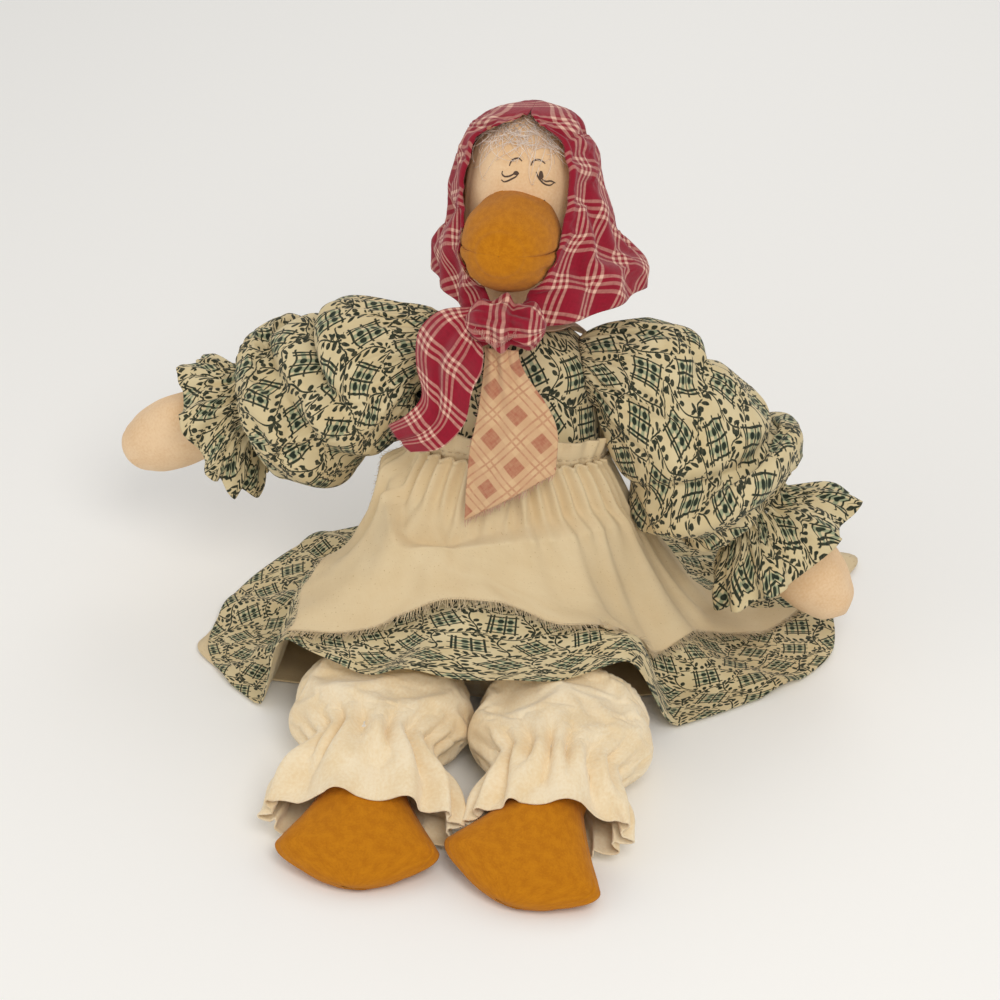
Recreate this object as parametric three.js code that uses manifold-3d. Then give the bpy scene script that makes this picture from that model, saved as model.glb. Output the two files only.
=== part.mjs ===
// A sitting cloth duck doll: a stuffed body in a calico dress, muslin apron,
// pantaloons and petticoat, with a checked kerchief tied under its bill.
// Millimetres, +Z up. The doll faces -Y and sits on the floor at z = 0, with the
// middle of its seat at the origin. Left and right are the doll's own: left is +X.

import * as THREE from "three";
import Module from "manifold-3d";
import { mergeVertices } from "three/addons/utils/BufferGeometryUtils.js";

const wasm = await Module();
wasm.setup();
const rad = THREE.MathUtils.degToRad;

// Cloth and fits
const cloth = 1.2; // one layer of cloth
const gap = 0.3; // clearance between pieces that touch
const elasticWidth = 5;
const elasticThick = 1;

// Trunk
const recline = rad(22); // the trunk leans back on its seat
const trunkLength = 168; // seat to neck seam, along the spine
const bellyHalfWidth = 46;
const bellyHalfDepth = 38;
const chestHalfWidth = 39;
const chestHalfDepth = 29;
const neckRadius = 18;
const shoulderHeight = 153; // up the spine
const waistHeight = 106; // seam of bodice and skirt, up the spine
const bodiceEase = 0.9; // air between the trunk and the bodice
const armholeRadius = 21; // ball round the shoulder that the armhole is cut with

// Head
const headHeight = 100;
const headRadius = 27;
const billHalfWidth = 22;
const billHalfHeight = 23;
const billReach = 40; // bill beyond the face
const billHeight = 42; // middle of the bill above the neck seam
const hoodEase = 3.5; // air between the crown and the kerchief
const leftFlare = 32; // how far each side flap stands off the cheek
const rightFlare = 12;
const hoodSideLift = 18; // the hem rises this much over each shoulder
const knotHalfWidth = 18;
const tailLength = 80; // pale tail, from the knot to its tip
const tailTopWidth = 15;
const tailWidth = 40;
const tailSlant = 26; // its lower edge is cut on this slant
const curlTailDrop = 60; // checked tail, from the knot to its foot
const curlReach = 18; // how far it loops out past the knot
const curlDepth = 5;

// Arms
const armLength = 160; // shoulder pivot to the tip of the hand
const armRadius = 14;
const handRadius = 17;
const rightArmDroop = rad(29); // below level
const leftArmDroop = rad(46);
const rightArmForward = rad(0); // toward the front
const leftArmForward = rad(10);
const sleeveRadius = 39;
const leftSleeveLift = 8; // the puff rides this far over the arm
const rightSleeveLift = -9;
const wristAt = 92; // elastic, from the shoulder pivot
const rightWristAt = 84; // the right sleeve is pushed up a little
const wristFrill = 21;
const frillRadius = 34;

// Legs
const hipHalfSpacing = 41;
const legLength = 78; // hip pivot to ankle pivot
const legRadius = 18;
const pantHalfWidth = 38;
const pantHalfHeight = 23;
const cuffFrill = 26;
const leftCuffHalfWidth = 37;
const rightCuffHalfWidth = 37;
const cuffAt = 60; // elastic, from the hip pivot
const leftLegYaw = rad(4); // outward
const rightLegYaw = rad(-4);
const leftFootTurn = rad(17); // its toes turn in
const rightFootTurn = rad(0);
const footLength = 52;
const footHalfWidth = 34;
const footHalfThickness = 12;
const footSlope = rad(20); // toes down to the floor

// Skirt, apron and petticoat
const skirtSpread = 150; // hem from the middle, at the sides
const skirtBack = 122; // hem behind
const skirtSkew = 0.28; // the left side of the hem is swept back
const skirtShift = 10; // the hem lies this far over to the left
const skirtFront = 66; // hem ahead, over the lap
const lapHeight = 52;
const skirtFolds = 11;
const foldDepth = 7;
const apronLeft = rad(104); // apron edges, round from the front
const apronRight = rad(-76);
const apronCorner = rad(-36); // where its right edge ends, on the front of the lap
const bandHeight = 14;
const bowReach = 30; // each loop of the bow, out from its knot
const bowEndLength = 44;
const bowEndWidth = 9;
const petticoatShow = 8; // how far the petticoat shows past the hem

// Materials
const material = (name, color) => {
  const made = new THREE.MeshStandardMaterial({ color, roughness: 0.9 });
  made.name = name;
  return made;
};
const calico = material("calico", 0x9a8f78);
const homespun = material("homespun", 0x9c3a34);
const muslin = material("muslin", 0xe6dcc6);
const skinCloth = material("skin_cloth", 0xe3c6a4);
const mustard = material("mustard", 0xb98432);
const flannel = material("flannel", 0xeee4cf);
const filling = material("filling", 0xf4f2ee);
const elastic = material("elastic", 0xf1efe9);
const wool = material("wool", 0xe9d6c8);

const point = (x, y, z) => new THREE.Vector3(x, y, z);
const mix = THREE.MathUtils.lerp;
const smooth = THREE.MathUtils.smoothstep;

// A geometry from points and faces, turned so that its faces look outward.
function closedShape(points, faces) {
  let volume = 0;
  for (const [a, b, c] of faces) {
    volume += points[a].dot(points[b].clone().cross(points[c]));
  }
  const index = faces.flatMap(([a, b, c]) => (volume < 0 ? [a, c, b] : [a, b, c]));
  const shape = new THREE.BufferGeometry();
  const places = points.flatMap((p) => p.toArray());
  shape.setAttribute("position", new THREE.Float32BufferAttribute(places, 3));
  shape.setIndex(index);
  return shape;
}

// A closed skin over rings of points: flat ends, or the last ring joins the first.
function skin(rings, loop = false) {
  const count = rings[0].length;
  const points = rings.flat();
  const faces = [];
  const steps = loop ? rings.length : rings.length - 1;
  for (let step = 0; step < steps; step++) {
    const near = step * count;
    const far = ((step + 1) % rings.length) * count;
    for (let i = 0; i < count; i++) {
      const j = (i + 1) % count;
      faces.push([near + i, near + j, far + j], [near + i, far + j, far + i]);
    }
  }
  if (!loop) {
    for (const [ring, flip] of [[0, true], [rings.length - 1, false]]) {
      const middle = points.length;
      points.push(rings[ring].reduce((sum, p) => sum.add(p), point(0, 0, 0)).divideScalar(count));
      for (let i = 0; i < count; i++) {
        const a = ring * count + i;
        const b = ring * count + ((i + 1) % count);
        faces.push(flip ? [b, a, middle] : [a, b, middle]);
      }
    }
  }
  return closedShape(points, faces);
}

// A cup of cloth: outer rings from the closed tip to the rim, and back down inside.
const cup = (outer, inner) => skin([...outer, ...[...inner].reverse()]);

// A tube of cloth, open at both ends.
const tube = (outer, inner) => skin([...outer, ...[...inner].reverse()], true);

// A sheet of cloth over rows of points, one layer thick. A closed sheet goes all the way round.
function sheet(rows, closed = false, thick = cloth) {
  const down = rows.length;
  const across = rows[0].length;
  const at = (r, c) => rows[r][closed ? (c + across) % across : c];
  const outside = [];
  const inside = [];
  for (let r = 0; r < down; r++) {
    for (let c = 0; c < across; c++) {
      const right = at(r, closed ? c + 1 : Math.min(c + 1, across - 1));
      const left = at(r, closed ? c - 1 : Math.max(c - 1, 0));
      const below = at(Math.min(r + 1, down - 1), c);
      const above = at(Math.max(r - 1, 0), c);
      const normal = right.clone().sub(left).cross(below.clone().sub(above)).normalize();
      outside.push(at(r, c).clone().addScaledVector(normal, thick / 2));
      inside.push(at(r, c).clone().addScaledVector(normal, -thick / 2));
    }
  }
  const total = down * across;
  const points = [...outside, ...inside];
  const faces = [];
  const quad = (a, b, c, d) => faces.push([a, b, c], [a, c, d]);
  const columns = closed ? across : across - 1;
  for (let r = 0; r < down - 1; r++) {
    for (let c = 0; c < columns; c++) {
      const a = r * across + c;
      const b = r * across + ((c + 1) % across);
      quad(a, b, b + across, a + across);
      quad(total + a, total + a + across, total + b + across, total + b);
    }
    if (!closed) {
      const first = r * across;
      const last = first + across - 1;
      quad(first, first + across, total + first + across, total + first);
      quad(last, total + last, total + last + across, last + across);
    }
  }
  for (let c = 0; c < columns; c++) {
    const next = (c + 1) % across;
    const foot = (down - 1) * across;
    quad(c, total + c, total + next, next);
    quad(foot + c, foot + next, total + foot + next, total + foot + c);
  }
  return closedShape(points, faces);
}

// Whole solids, for cutting one piece by another.
function solidOf(shape) {
  const plain = new THREE.BufferGeometry();
  plain.setAttribute("position", shape.getAttribute("position"));
  plain.setIndex(shape.getIndex());
  const merged = mergeVertices(plain, 1e-4);
  const mesh = new wasm.Mesh({
    numProp: 3,
    vertProperties: new Float32Array(merged.getAttribute("position").array),
    triVerts: new Uint32Array(merged.getIndex().array),
  });
  return new wasm.Manifold(mesh);
}

function shapeOf(solid) {
  const mesh = solid.getMesh();
  const shape = new THREE.BufferGeometry();
  shape.setAttribute("position", new THREE.BufferAttribute(new Float32Array(mesh.vertProperties), 3));
  shape.setIndex(new THREE.BufferAttribute(new Uint32Array(mesh.triVerts), 1));
  return shape;
}

const cut = (shape, ...tools) => shapeOf(tools.reduce((s, t) => s.subtract(solidOf(t)), solidOf(shape)));
const within = (shape, region) => shapeOf(solidOf(shape).intersect(solidOf(region)));
const join = (...shapes) => shapeOf(shapes.map(solidOf).reduce((a, b) => a.add(b)));
const ball = (radius, at, sides = 16) => {
  const shape = new THREE.SphereGeometry(radius, sides, sides / 2);
  return shape.translate(at.x, at.y, at.z);
};

// A swelling stuffed form along +Z: (height, radius) stations, drawn in by an inset all over.
function swell(stations, inset, { flat = 1, sides = 14, steps = 10 } = {}) {
  const curve = new THREE.SplineCurve(stations.map(([z, r]) => new THREE.Vector2(z, r)));
  const rings = [];
  for (let step = 0; step <= steps; step++) {
    const at = curve.getPoint(step / steps);
    const run = curve.getTangent(step / steps);
    const z = at.x + run.y * inset;
    const radius = at.y - run.x * inset;
    const depth = at.y * flat - run.x * inset;
    rings.push(oval(point(0, 0, z), radius, depth, sides));
  }
  return rings;
}

// The radius of a swelling form at one height.
function radiusAt(stations, height) {
  const curve = new THREE.SplineCurve(stations.map(([z, r]) => new THREE.Vector2(z, r)));
  let best = curve.getPoint(0);
  for (let i = 0; i <= 80; i++) {
    const spot = curve.getPoint(i / 80);
    if (Math.abs(spot.x - height) < Math.abs(best.x - height)) best = spot;
  }
  return best.y;
}

// A level ring of points about a middle.
function oval(middle, halfWidth, halfDepth, sides, fold = () => 0) {
  const ring = [];
  for (let i = 0; i < sides; i++) {
    const turn = (i / sides) * 2 * Math.PI;
    const out = fold(turn);
    const x = (halfWidth + out) * Math.sin(turn);
    const y = -(halfDepth + out) * Math.cos(turn);
    ring.push(middle.clone().add(point(x, y, 0)));
  }
  return ring;
}

// Rings across a path that keeps near an upright plane: level is across it, and stations are
// [distance along, half width, half height, fold depth].
function pathRings(path, level, stations, inset, { sides = 18, folds = 6, phase = 0 } = {}) {
  const length = path.getLength();
  return stations.map(([along, halfWidth, halfHeight, fold = 0]) => {
    const spot = Math.min(along / length, 1);
    const middle = path.getPointAt(spot);
    const run = path.getTangentAt(spot);
    const across = level.clone().addScaledVector(run, -level.dot(run)).normalize();
    const up = across.clone().cross(run);
    const ring = [];
    for (let i = 0; i < sides; i++) {
      const turn = (i / sides) * 2 * Math.PI;
      const out = fold * Math.cos(folds * turn + phase) - inset;
      ring.push(
        middle.clone()
          .addScaledVector(across, (halfWidth + out) * Math.cos(turn))
          .addScaledVector(up, (halfHeight + out) * Math.sin(turn)),
      );
    }
    return ring;
  });
}

const doll = new THREE.Group();
doll.name = "cloth_duck_doll";

function piece(parent, name, shape, made) {
  const mesh = new THREE.Mesh(shape, made);
  mesh.name = name;
  parent.add(mesh);
  return mesh;
}

// Trunk: rings that start level on the seat and lean back with the spine.
const spineSpot = (x, y, up) =>
  point(x, y, up).applyAxisAngle(point(1, 0, 0), -recline);

function trunkRing(up, halfWidth, halfDepth, sides, fold) {
  const lean = recline * smooth(up / trunkLength, 0, 0.4);
  const middle = spineSpot(0, 0, up);
  return oval(point(0, 0, 0), halfWidth, halfDepth, sides, fold).map((p) =>
    p.applyAxisAngle(point(1, 0, 0), -lean).add(middle),
  );
}

const seatFloor = cloth + gap; // the petticoat lies under the seat
const trunkBase = seatFloor + cloth + gap;
const trunkStations = [
  [trunkBase, bellyHalfWidth * 0.62, bellyHalfDepth * 0.62],
  [trunkBase + 9, bellyHalfWidth * 0.9, bellyHalfDepth * 0.9],
  [trunkLength * 0.2, bellyHalfWidth, bellyHalfDepth],
  [trunkLength * 0.4, bellyHalfWidth * 0.98, bellyHalfDepth * 0.98],
  [
    trunkLength * 0.62,
    mix(bellyHalfWidth, chestHalfWidth, 0.6),
    mix(bellyHalfDepth, chestHalfDepth, 0.6),
  ],
  [trunkLength * 0.8, chestHalfWidth, chestHalfDepth],
  [shoulderHeight, chestHalfWidth, chestHalfDepth * 0.93],
  [mix(shoulderHeight, trunkLength, 0.6), mix(chestHalfWidth, neckRadius, 0.45), chestHalfDepth * 0.8],
  [trunkLength, neckRadius, neckRadius * 0.92],
];
const trunkRings = (grow, sides, stations = trunkStations) =>
  stations.map(([up, w, d]) => trunkRing(up, w + grow, d + grow, sides));
const trunkInner = trunkStations.map(([up, w, d], i) => [i === 0 ? up + cloth : up, w, d]);
const trunkFill = trunkStations.map(([up, w, d], i) => [i === 0 ? up + cloth + gap : up, w, d]);

piece(doll, "torso_cover", cup(trunkRings(0, 16), trunkRings(-cloth, 16, trunkInner)), skinCloth);
piece(doll, "torso_stuffing", skin(trunkRings(-cloth - gap * 2, 8, trunkFill)), filling);

const shoulderX = chestHalfWidth + gap + armRadius * 0.99;
const shoulder = (side) => spineSpot(side * shoulderX, 0, shoulderHeight);

// Bodice: follows the trunk from the waist seam to the neck, with a round armhole each side.
const bodiceStations = [
  [
    waistHeight + gap / 2,
    mix(bellyHalfWidth, chestHalfWidth, 0.5),
    mix(bellyHalfDepth, chestHalfDepth, 0.3),
  ],
  ...trunkStations.filter(([up]) => up > waistHeight + 4 && up < trunkLength),
  [trunkLength - gap, neckRadius + 4, neckRadius + 3],
];
const bodiceOut = bodiceEase + gap + cloth;
const bodiceShell = tube(
  bodiceStations.map(([up, w, d]) => trunkRing(up, w + bodiceOut, d + bodiceOut, 20)),
  bodiceStations.map(([up, w, d]) => trunkRing(up, w + bodiceOut - cloth, d + bodiceOut - cloth, 20)),
);
const armholes = [1, -1].map((side) => ball(armholeRadius, shoulder(side)));
piece(doll, "bodice", cut(bodiceShell, ...armholes), calico);

// Collar: a flat muslin strip round the neck edge, over the bodice.
const collarRow = (up, out, width) => {
  const [, w, d] = bodiceStations.at(-1);
  return trunkRing(up, w + bodiceOut + out + width, d + bodiceOut + out + width * 0.7, 18);
};
const collarRows = [
  collarRow(trunkLength + cloth * 1.6, gap, -2),
  collarRow(trunkLength - 1, gap + cloth, 4),
  collarRow(trunkLength - 6, gap + cloth, 11),
];
const collarShape = sheet(collarRows, true);
const overBodice = skin(
  bodiceStations.map(([up, w, d], i, all) => {
    const top = i === all.length - 1 ? 1 : 0;
    return trunkRing(up + top, w + bodiceOut + gap, d + bodiceOut + gap, 20);
  }),
);
piece(doll, "collar", cut(collarShape, overBodice), muslin);

// Apron band: rows round the waist, with a ruffled heading ahead.
const [, waistW, waistD] = bodiceStations[0];
const bandGrow = bodiceOut + gap + cloth / 2;
const bandRow = (up, grow, ruffle) =>
  trunkRing(waistHeight + up, waistW + grow, waistD + grow, 36, (turn) =>
    ruffle * Math.max(Math.cos(turn) + 0.25, 0) * (0.5 + 0.5 * Math.cos(18 * turn)));
const overBand = skin([
  bandRow(bandHeight + gap, bandGrow + 2 + cloth + gap, 4),
  bandRow(bandHeight * 0.5, bandGrow + 1 + cloth + gap, 2),
  bandRow(1.5 - cloth, bandGrow + cloth + gap, 0),
]);

// Arms: each hangs from a ball at its shoulder, in the upright plane across the trunk.
const armStations = [
  [-armRadius, 2.5],
  [-armRadius * 0.78, armRadius * 0.62],
  [0, armRadius],
  [armLength * 0.3, armRadius * 1.02],
  [wristAt, armRadius],
  [armLength * 0.74, mix(armRadius, handRadius, 0.9)],
  [armLength * 0.83, handRadius],
  [armLength * 0.92, handRadius * 0.8],
  [armLength * 0.98, handRadius * 0.42],
  [armLength, handRadius * 0.12],
];

function addArm(side, droop, forward, name) {
  const arm = new THREE.Group();
  arm.position.copy(shoulder(side));
  arm.rotation.set(0, side * (Math.PI / 2 + droop), -side * forward, "ZYX");
  doll.add(arm);
  const outer = swell(armStations, 0, { sides: 10, steps: 9 }).reverse();
  const inner = swell(armStations, cloth, { sides: 10, steps: 9 }).slice(1).reverse();
  piece(arm, `${name}_arm_cover`, cup(outer, inner), skinCloth);
  const fill = swell(armStations, cloth + gap * 2, { sides: 5, steps: 9 }).slice(1);
  piece(arm, `${name}_arm_stuffing`, skin(fill), filling);

  // Wrist elastic, inside the gathers
  const cuffTo = side > 0 ? wristAt : rightWristAt;
  const band = (radius, z) => oval(point(0, 0, z), radius, radius, 18);
  const inside = radiusAt(armStations, cuffTo) * 1.04 + gap;
  const outside = inside + elasticThick;
  const elasticRings = [[inside, -0.5], [outside, -0.5], [outside, 0.5], [inside, 0.5]].map(
    ([r, z]) => band(r, cuffTo + z * elasticWidth),
  );
  piece(arm, `${name}_sleeve_elastic`, skin(elasticRings, true), elastic);

  // Sleeve: starts flat against the armhole and bends down along the arm
  const turned = (p) => p.applyAxisAngle(point(0, 0, 1), -side * forward);
  const along = turned(point(side * Math.cos(droop), 0, -Math.sin(droop)));
  const start = shoulder(side);
  start.x = side * (chestHalfWidth + bodiceOut + cloth);
  const lift = side > 0 ? leftSleeveLift : rightSleeveLift;
  const over = turned(point(side * Math.sin(droop), 0, Math.cos(droop))).multiplyScalar(lift);
  const path = new THREE.CatmullRomCurve3([
    start,
    start.clone().add(point(side * 7, 0, 0)),
    shoulder(side).addScaledVector(along, cuffTo * 0.3).add(over),
    shoulder(side).addScaledVector(along, cuffTo * 0.65).addScaledVector(over, 0.5),
    shoulder(side).addScaledVector(along, cuffTo),
    shoulder(side).addScaledVector(along, cuffTo + wristFrill),
  ]);
  const whole = path.getLength();
  const wrist = whole - wristFrill;
  const gathered = outside + gap + cloth + 1.3;
  const halfFrill = mix(gathered, frillRadius, 0.75);
  const stations = [
    [0, armholeRadius + 3, armholeRadius + 3, 1],
    [wrist * 0.14, sleeveRadius * 0.8, sleeveRadius * 0.8, 2],
    [wrist * 0.34, sleeveRadius * 0.8, sleeveRadius * 0.77, 1.4],
    [wrist * 0.6, sleeveRadius, sleeveRadius * 0.98, 1.5],
    [wrist * 0.78, sleeveRadius * 0.97, sleeveRadius * 0.97, 2.5],
    [wrist * 0.92, sleeveRadius * 0.76, sleeveRadius * 0.76, 3.4],
    [wrist - elasticWidth / 2, gathered, gathered, 2.4],
    [wrist + elasticWidth / 2, gathered, gathered, 2.4],
    [wrist + wristFrill * 0.5, halfFrill, halfFrill, 3.4],
    [whole, frillRadius, frillRadius, 4.2],
  ];
  const level = turned(point(0, side, 0));
  const sleeve = tube(
    pathRings(path, level, stations, 0, { sides: 18, folds: 6 }),
    pathRings(path, level, stations, cloth, { sides: 18, folds: 6 }),
  );
  piece(doll, `${name}_sleeve`, cut(sleeve, overBodice, overBand), calico);
}
addArm(1, leftArmDroop, leftArmForward, "left");
addArm(-1, rightArmDroop, rightArmForward, "right");

// Head group: stands on the neck seam, upright along the spine.
const head = new THREE.Group();
head.position.copy(spineSpot(0, 0, trunkLength + gap));
head.rotation.x = -recline;
doll.add(head);
const headStations = [
  [0, neckRadius],
  [headHeight * 0.12, neckRadius * 1.05],
  [headHeight * 0.3, headRadius * 0.94],
  [headHeight * 0.5, headRadius],
  [headHeight * 0.7, headRadius * 0.97],
  [headHeight * 0.85, headRadius * 0.78],
  [headHeight * 0.95, headRadius * 0.45],
  [headHeight, headRadius * 0.1],
];
const headRings = (inset, sides = 14) => swell(headStations, inset, { sides, steps: 9 });
piece(head, "head_cover", cup(headRings(0).reverse(), headRings(cloth).reverse()), skinCloth);
piece(head, "head_stuffing", skin(headRings(cloth + gap * 2, 7)), filling);

// Bill: an upper and a lower panel seamed round the mouth, over their own stuffing.
const faceGrown = skin(headRings(-gap));
const billRoot = headRadius * 0.45; // inside the face
const billFace = headRadius * 0.9;
const billStations = [
  [billRoot, 0.97, 1],
  [billFace, 1, 0.98],
  [billFace + billReach * 0.35, 0.98, 0.92],
  [billFace + billReach * 0.68, 0.82, 0.74],
  [billFace + billReach * 0.9, 0.55, 0.48],
  [billFace + billReach, 0.28, 0.22],
];
const billRings = (inset, sides = 14) =>
  billStations.map(([reach, wide, tall], i, all) => {
    const tip = i === all.length - 1 ? inset : 0;
    const middle = point(0, tip - reach, billHeight - reach * 0.056);
    const ring = [];
    for (let k = 0; k < sides; k++) {
      const turn = (k / sides) * 2 * Math.PI;
      const x = (billHalfWidth * wide - inset) * Math.cos(turn);
      const z = (billHalfHeight * tall - inset) * Math.sin(turn);
      ring.push(middle.clone().add(point(x, 0, z)));
    }
    return ring;
  });
const billShell = cut(skin(billRings(0)), skin(billRings(cloth)), faceGrown);
const mouth = billHeight - 3.5;
const half = (sign) => {
  const box = new THREE.BoxGeometry(200, 400, 200);
  return box.translate(0, -200, mouth + sign * (100 + gap / 2));
};
piece(head, "bill_upper", within(billShell, half(1)), mustard);
piece(head, "bill_lower", within(billShell, half(-1)), mustard);
piece(head, "bill_stuffing", cut(skin(billRings(cloth + gap * 2)), faceGrown), filling);

// Hair: a flat tuft over the forehead.
const headSurface = (turn, height, out) => {
  const radius = radiusAt(headStations, height) + out;
  return point(radius * Math.sin(turn), -radius * Math.cos(turn), height);
};
const hairRows = [];
for (let r = 0; r <= 4; r++) {
  const row = [];
  for (let c = 0; c <= 8; c++) {
    const turn = mix(-0.85, 0.85, c / 8);
    const height = headHeight * mix(0.92, 0.72 + 0.1 * turn * turn, r / 4);
    row.push(headSurface(turn, height, gap + 1.6));
  }
  hairRows.push(row);
}
piece(head, "hair_tuft", cut(sheet(hairRows, false, 1.4), skin(headRings(-gap))), wool);

// Kerchief knot, under the bill.
const knotHalfHeight = knotHalfWidth * 0.65;
const knotHeight = billHeight - billHalfHeight - knotHalfWidth * 0.68;
const knotAt = point(0, -headRadius - billReach * 0.6, knotHeight);
const knotRings = (grow) => {
  const rings = [];
  for (let i = 0; i <= 6; i++) {
    const spot = mix(-0.97, 0.97, i / 6);
    const round = Math.sqrt(1 - spot * spot) * (1 + 0.12 * Math.cos(9 * spot));
    const tall = knotHalfWidth * 0.58 * round + grow;
    const deep = knotHalfWidth * 0.62 * round + grow;
    const ring = oval(point(0, 0, 0), tall, deep, 10);
    rings.push(ring.map((p) => point(spot * (knotHalfWidth + grow), p.y, p.x).add(knotAt)));
  }
  return rings;
};
piece(head, "kerchief_knot", skin(knotRings(0)), homespun);

// Kerchief hood: a bell of cloth round the back of the head, open over the face.
// Each row is [share of the height, share of the flare, half depth, half opening].
const hoodTop = headHeight + gap + cloth / 2;
const knotBack = -knotAt.y - knotHalfWidth * 0.4;
const hoodStations = [
  [0, 0.94, knotBack, rad(9)],
  [0.12, 0.9, knotBack * 0.97, rad(27)],
  [0.26, 0.55, knotBack * 0.93, rad(42)],
  [0.42, 0.34, headRadius + 9, rad(47)],
  [0.58, 0.14, headRadius + 6, rad(49)],
  [0.73, 0, headRadius + hoodEase, rad(46)],
  [0.86, -0.16, headRadius * 0.9 + hoodEase, rad(42)],
  [0.95, -0.46, headRadius * 0.58 + hoodEase, rad(36)],
  [1, -0.92, headRadius * 0.06, rad(20)],
];
const hoodHem = knotAt.z - 3;
const hoodRows = hoodStations.map(([share, stand, deep, open]) => {
  const row = [];
  for (let i = 0; i <= 20; i++) {
    const nearer = 0.2 * Math.max(stand, 0) * (leftFlare / (leftFlare + rightFlare));
    const turn = mix(open * (1 - nearer), 2 * Math.PI - open, i / 20);
    const side = Math.abs(Math.sin(turn));
    const low = hoodHem + hoodSideLift * side * side;
    const fold = (1 - share) * (1 - share) * 3 * Math.cos(9 * turn);
    const flare = Math.sin(turn) > 0 ? leftFlare : rightFlare;
    const crown = headRadius + hoodEase;
    const wide = stand >= 0 ? crown + (flare - hoodEase) * stand : crown * (1 + stand);
    const behind = Math.max(-Math.cos(turn), 0);
    const back = mix(deep, Math.min(deep, headRadius + 14), behind);
    const x = (wide + fold) * Math.sin(turn);
    row.push(point(x, -(back + fold) * Math.cos(turn), mix(low, hoodTop, share)));
  }
  return row;
});
piece(head, "kerchief_hood", cut(sheet(hoodRows), skin(knotRings(gap))), homespun);

// Kerchief tails: the pale one hangs down the front, the checked one loops out and curls.
const tailTop = knotAt.z - knotHalfHeight - gap;
const tailY = knotAt.y;
const paleRows = [];
for (let r = 0; r <= 8; r++) {
  const down = r / 8;
  const row = [];
  for (let c = 0; c <= 6; c++) {
    const across = c / 6;
    const width = mix(tailTopWidth, tailWidth, smooth(down, 0, 0.75));
    const slant = tailSlant * down * down * (1 - across);
    const drop = tailTop - (tailLength - tailSlant) * down - slant;
    const x = mix(2, 10, smooth(down, 0, 0.6)) + (across - 0.5) * width;
    const wave = 2.6 * down * Math.sin(across * 7 + 1.2);
    row.push(point(x, tailY + wave - 2 * down, drop));
  }
  paleRows.push(row);
}
piece(head, "left_kerchief_tail", sheet(paleRows), homespun);

const curlSpot = (reach, deep, drop) =>
  point(-knotHalfWidth - curlReach * reach, tailY + curlDepth * deep, knotAt.z - curlTailDrop * drop);
const knotSide = -knotHalfWidth * 0.97 - gap;
const curlOuter = new THREE.CatmullRomCurve3([
  point(knotSide, tailY, knotAt.z + knotHalfHeight * 0.52),
  curlSpot(0.5, 0.2, -1 / 12),
  curlSpot(1, 0.8, 2 / 15),
  curlSpot(1, 1, 7 / 15),
  curlSpot(25 / 18, 0.2, 0.9),
]);
const curlInner = new THREE.CatmullRomCurve3([
  point(knotSide, tailY - curlDepth * 0.4, knotAt.z - knotHalfHeight * 0.52),
  curlSpot(-1 / 6, -0.6, 0.25),
  curlSpot(-5 / 18, -0.4, 7 / 15),
  curlSpot(-7 / 18, -0.2, 11 / 15),
  curlSpot(-2 / 9, -0.6, 1),
]);
const curlRows = [];
for (let r = 0; r <= 8; r++) {
  const row = [];
  const outer = curlOuter.getPoint(r / 8);
  const inner = curlInner.getPoint(r / 8);
  for (let c = 0; c <= 5; c++) {
    const spot = outer.clone().lerp(inner, c / 5);
    spot.y += 2.4 * (r / 8) * Math.sin((c / 5) * 6.5);
    row.push(spot);
  }
  curlRows.push(row);
}
piece(head, "right_kerchief_tail", sheet(curlRows), homespun);

// Skirt: from the gathered waist seam, over the lap ahead and out on the floor at the sides and back.
const lapHalf = hipHalfSpacing + pantHalfWidth + 9;
const floorLayer = cloth * 2 + gap * 3;
const restHeight = (x, y) => {
  const overLegs = (1 - smooth(Math.abs(x), lapHalf, lapHalf + 16)) * (1 - smooth(y, -34, 8));
  return floorLayer + (lapHeight - floorLayer) * overLegs;
};
const waistRing = (turn) => {
  const [, w, d] = bodiceStations[0];
  const x = (w + bodiceOut - cloth / 2) * Math.sin(turn);
  const y = -(d + bodiceOut - cloth / 2) * Math.cos(turn);
  return spineSpot(x, y, waistHeight - cloth);
};
const hemSpot = (turn) => {
  const ahead = Math.max(Math.cos(turn), 0);
  const reach = Math.cos(turn) > 0 ? skirtFront : skirtBack;
  const wide = skirtSpread * (1 - 0.1 * ahead * ahead * Math.abs(Math.sin(turn)));
  const out = Math.abs(Math.sin(turn));
  const side = wide * Math.pow(out, 0.8) * Math.sqrt(1 - 0.2 * ahead * ahead);
  const x = side * Math.sign(Math.sin(turn)) + skirtShift * out * out;
  return point(x, -reach * Math.cos(turn) * (1 + 0.12 * ahead) + skirtSkew * Math.max(x, 0), 0);
};
const handLies = (turn) => smooth(Math.abs(turn - rad(100)), rad(16), rad(34));
const skirtSpot = (turn, down, lift) => {
  const waist = waistRing(turn);
  const hem = hemSpot(turn);
  const ahead = Math.max(Math.cos(turn), 0);
  const spot = waist.clone().lerp(hem, Math.pow(down, mix(1, 0.8, ahead)));
  const rest = restHeight(spot.x, spot.y);
  const fall = Math.pow(1 - down, mix(3.2, 2.5, ahead));
  const ripple = 0.5 + 0.5 * Math.cos(skirtFolds * turn + 0.6);
  const rise = foldDepth * ripple * smooth(down, 0.05, 0.8) * mix(0.05, 1, handLies(turn));
  spot.z = rest + (waist.z - rest) * fall + rise;
  const flare = Math.sin(Math.PI * Math.min(down * 1.5, 1)) * 3 * (ripple - 0.5) * (1 - down);
  spot.x += Math.sin(turn) * (flare + lift);
  spot.y -= Math.cos(turn) * (flare + lift);
  spot.z += lift;
  return spot;
};
const skirtColumns = skirtFolds * 4;
const skirtTurn = (c) => (c / skirtColumns) * 2 * Math.PI - Math.PI;
const skirtRows = [];
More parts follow.
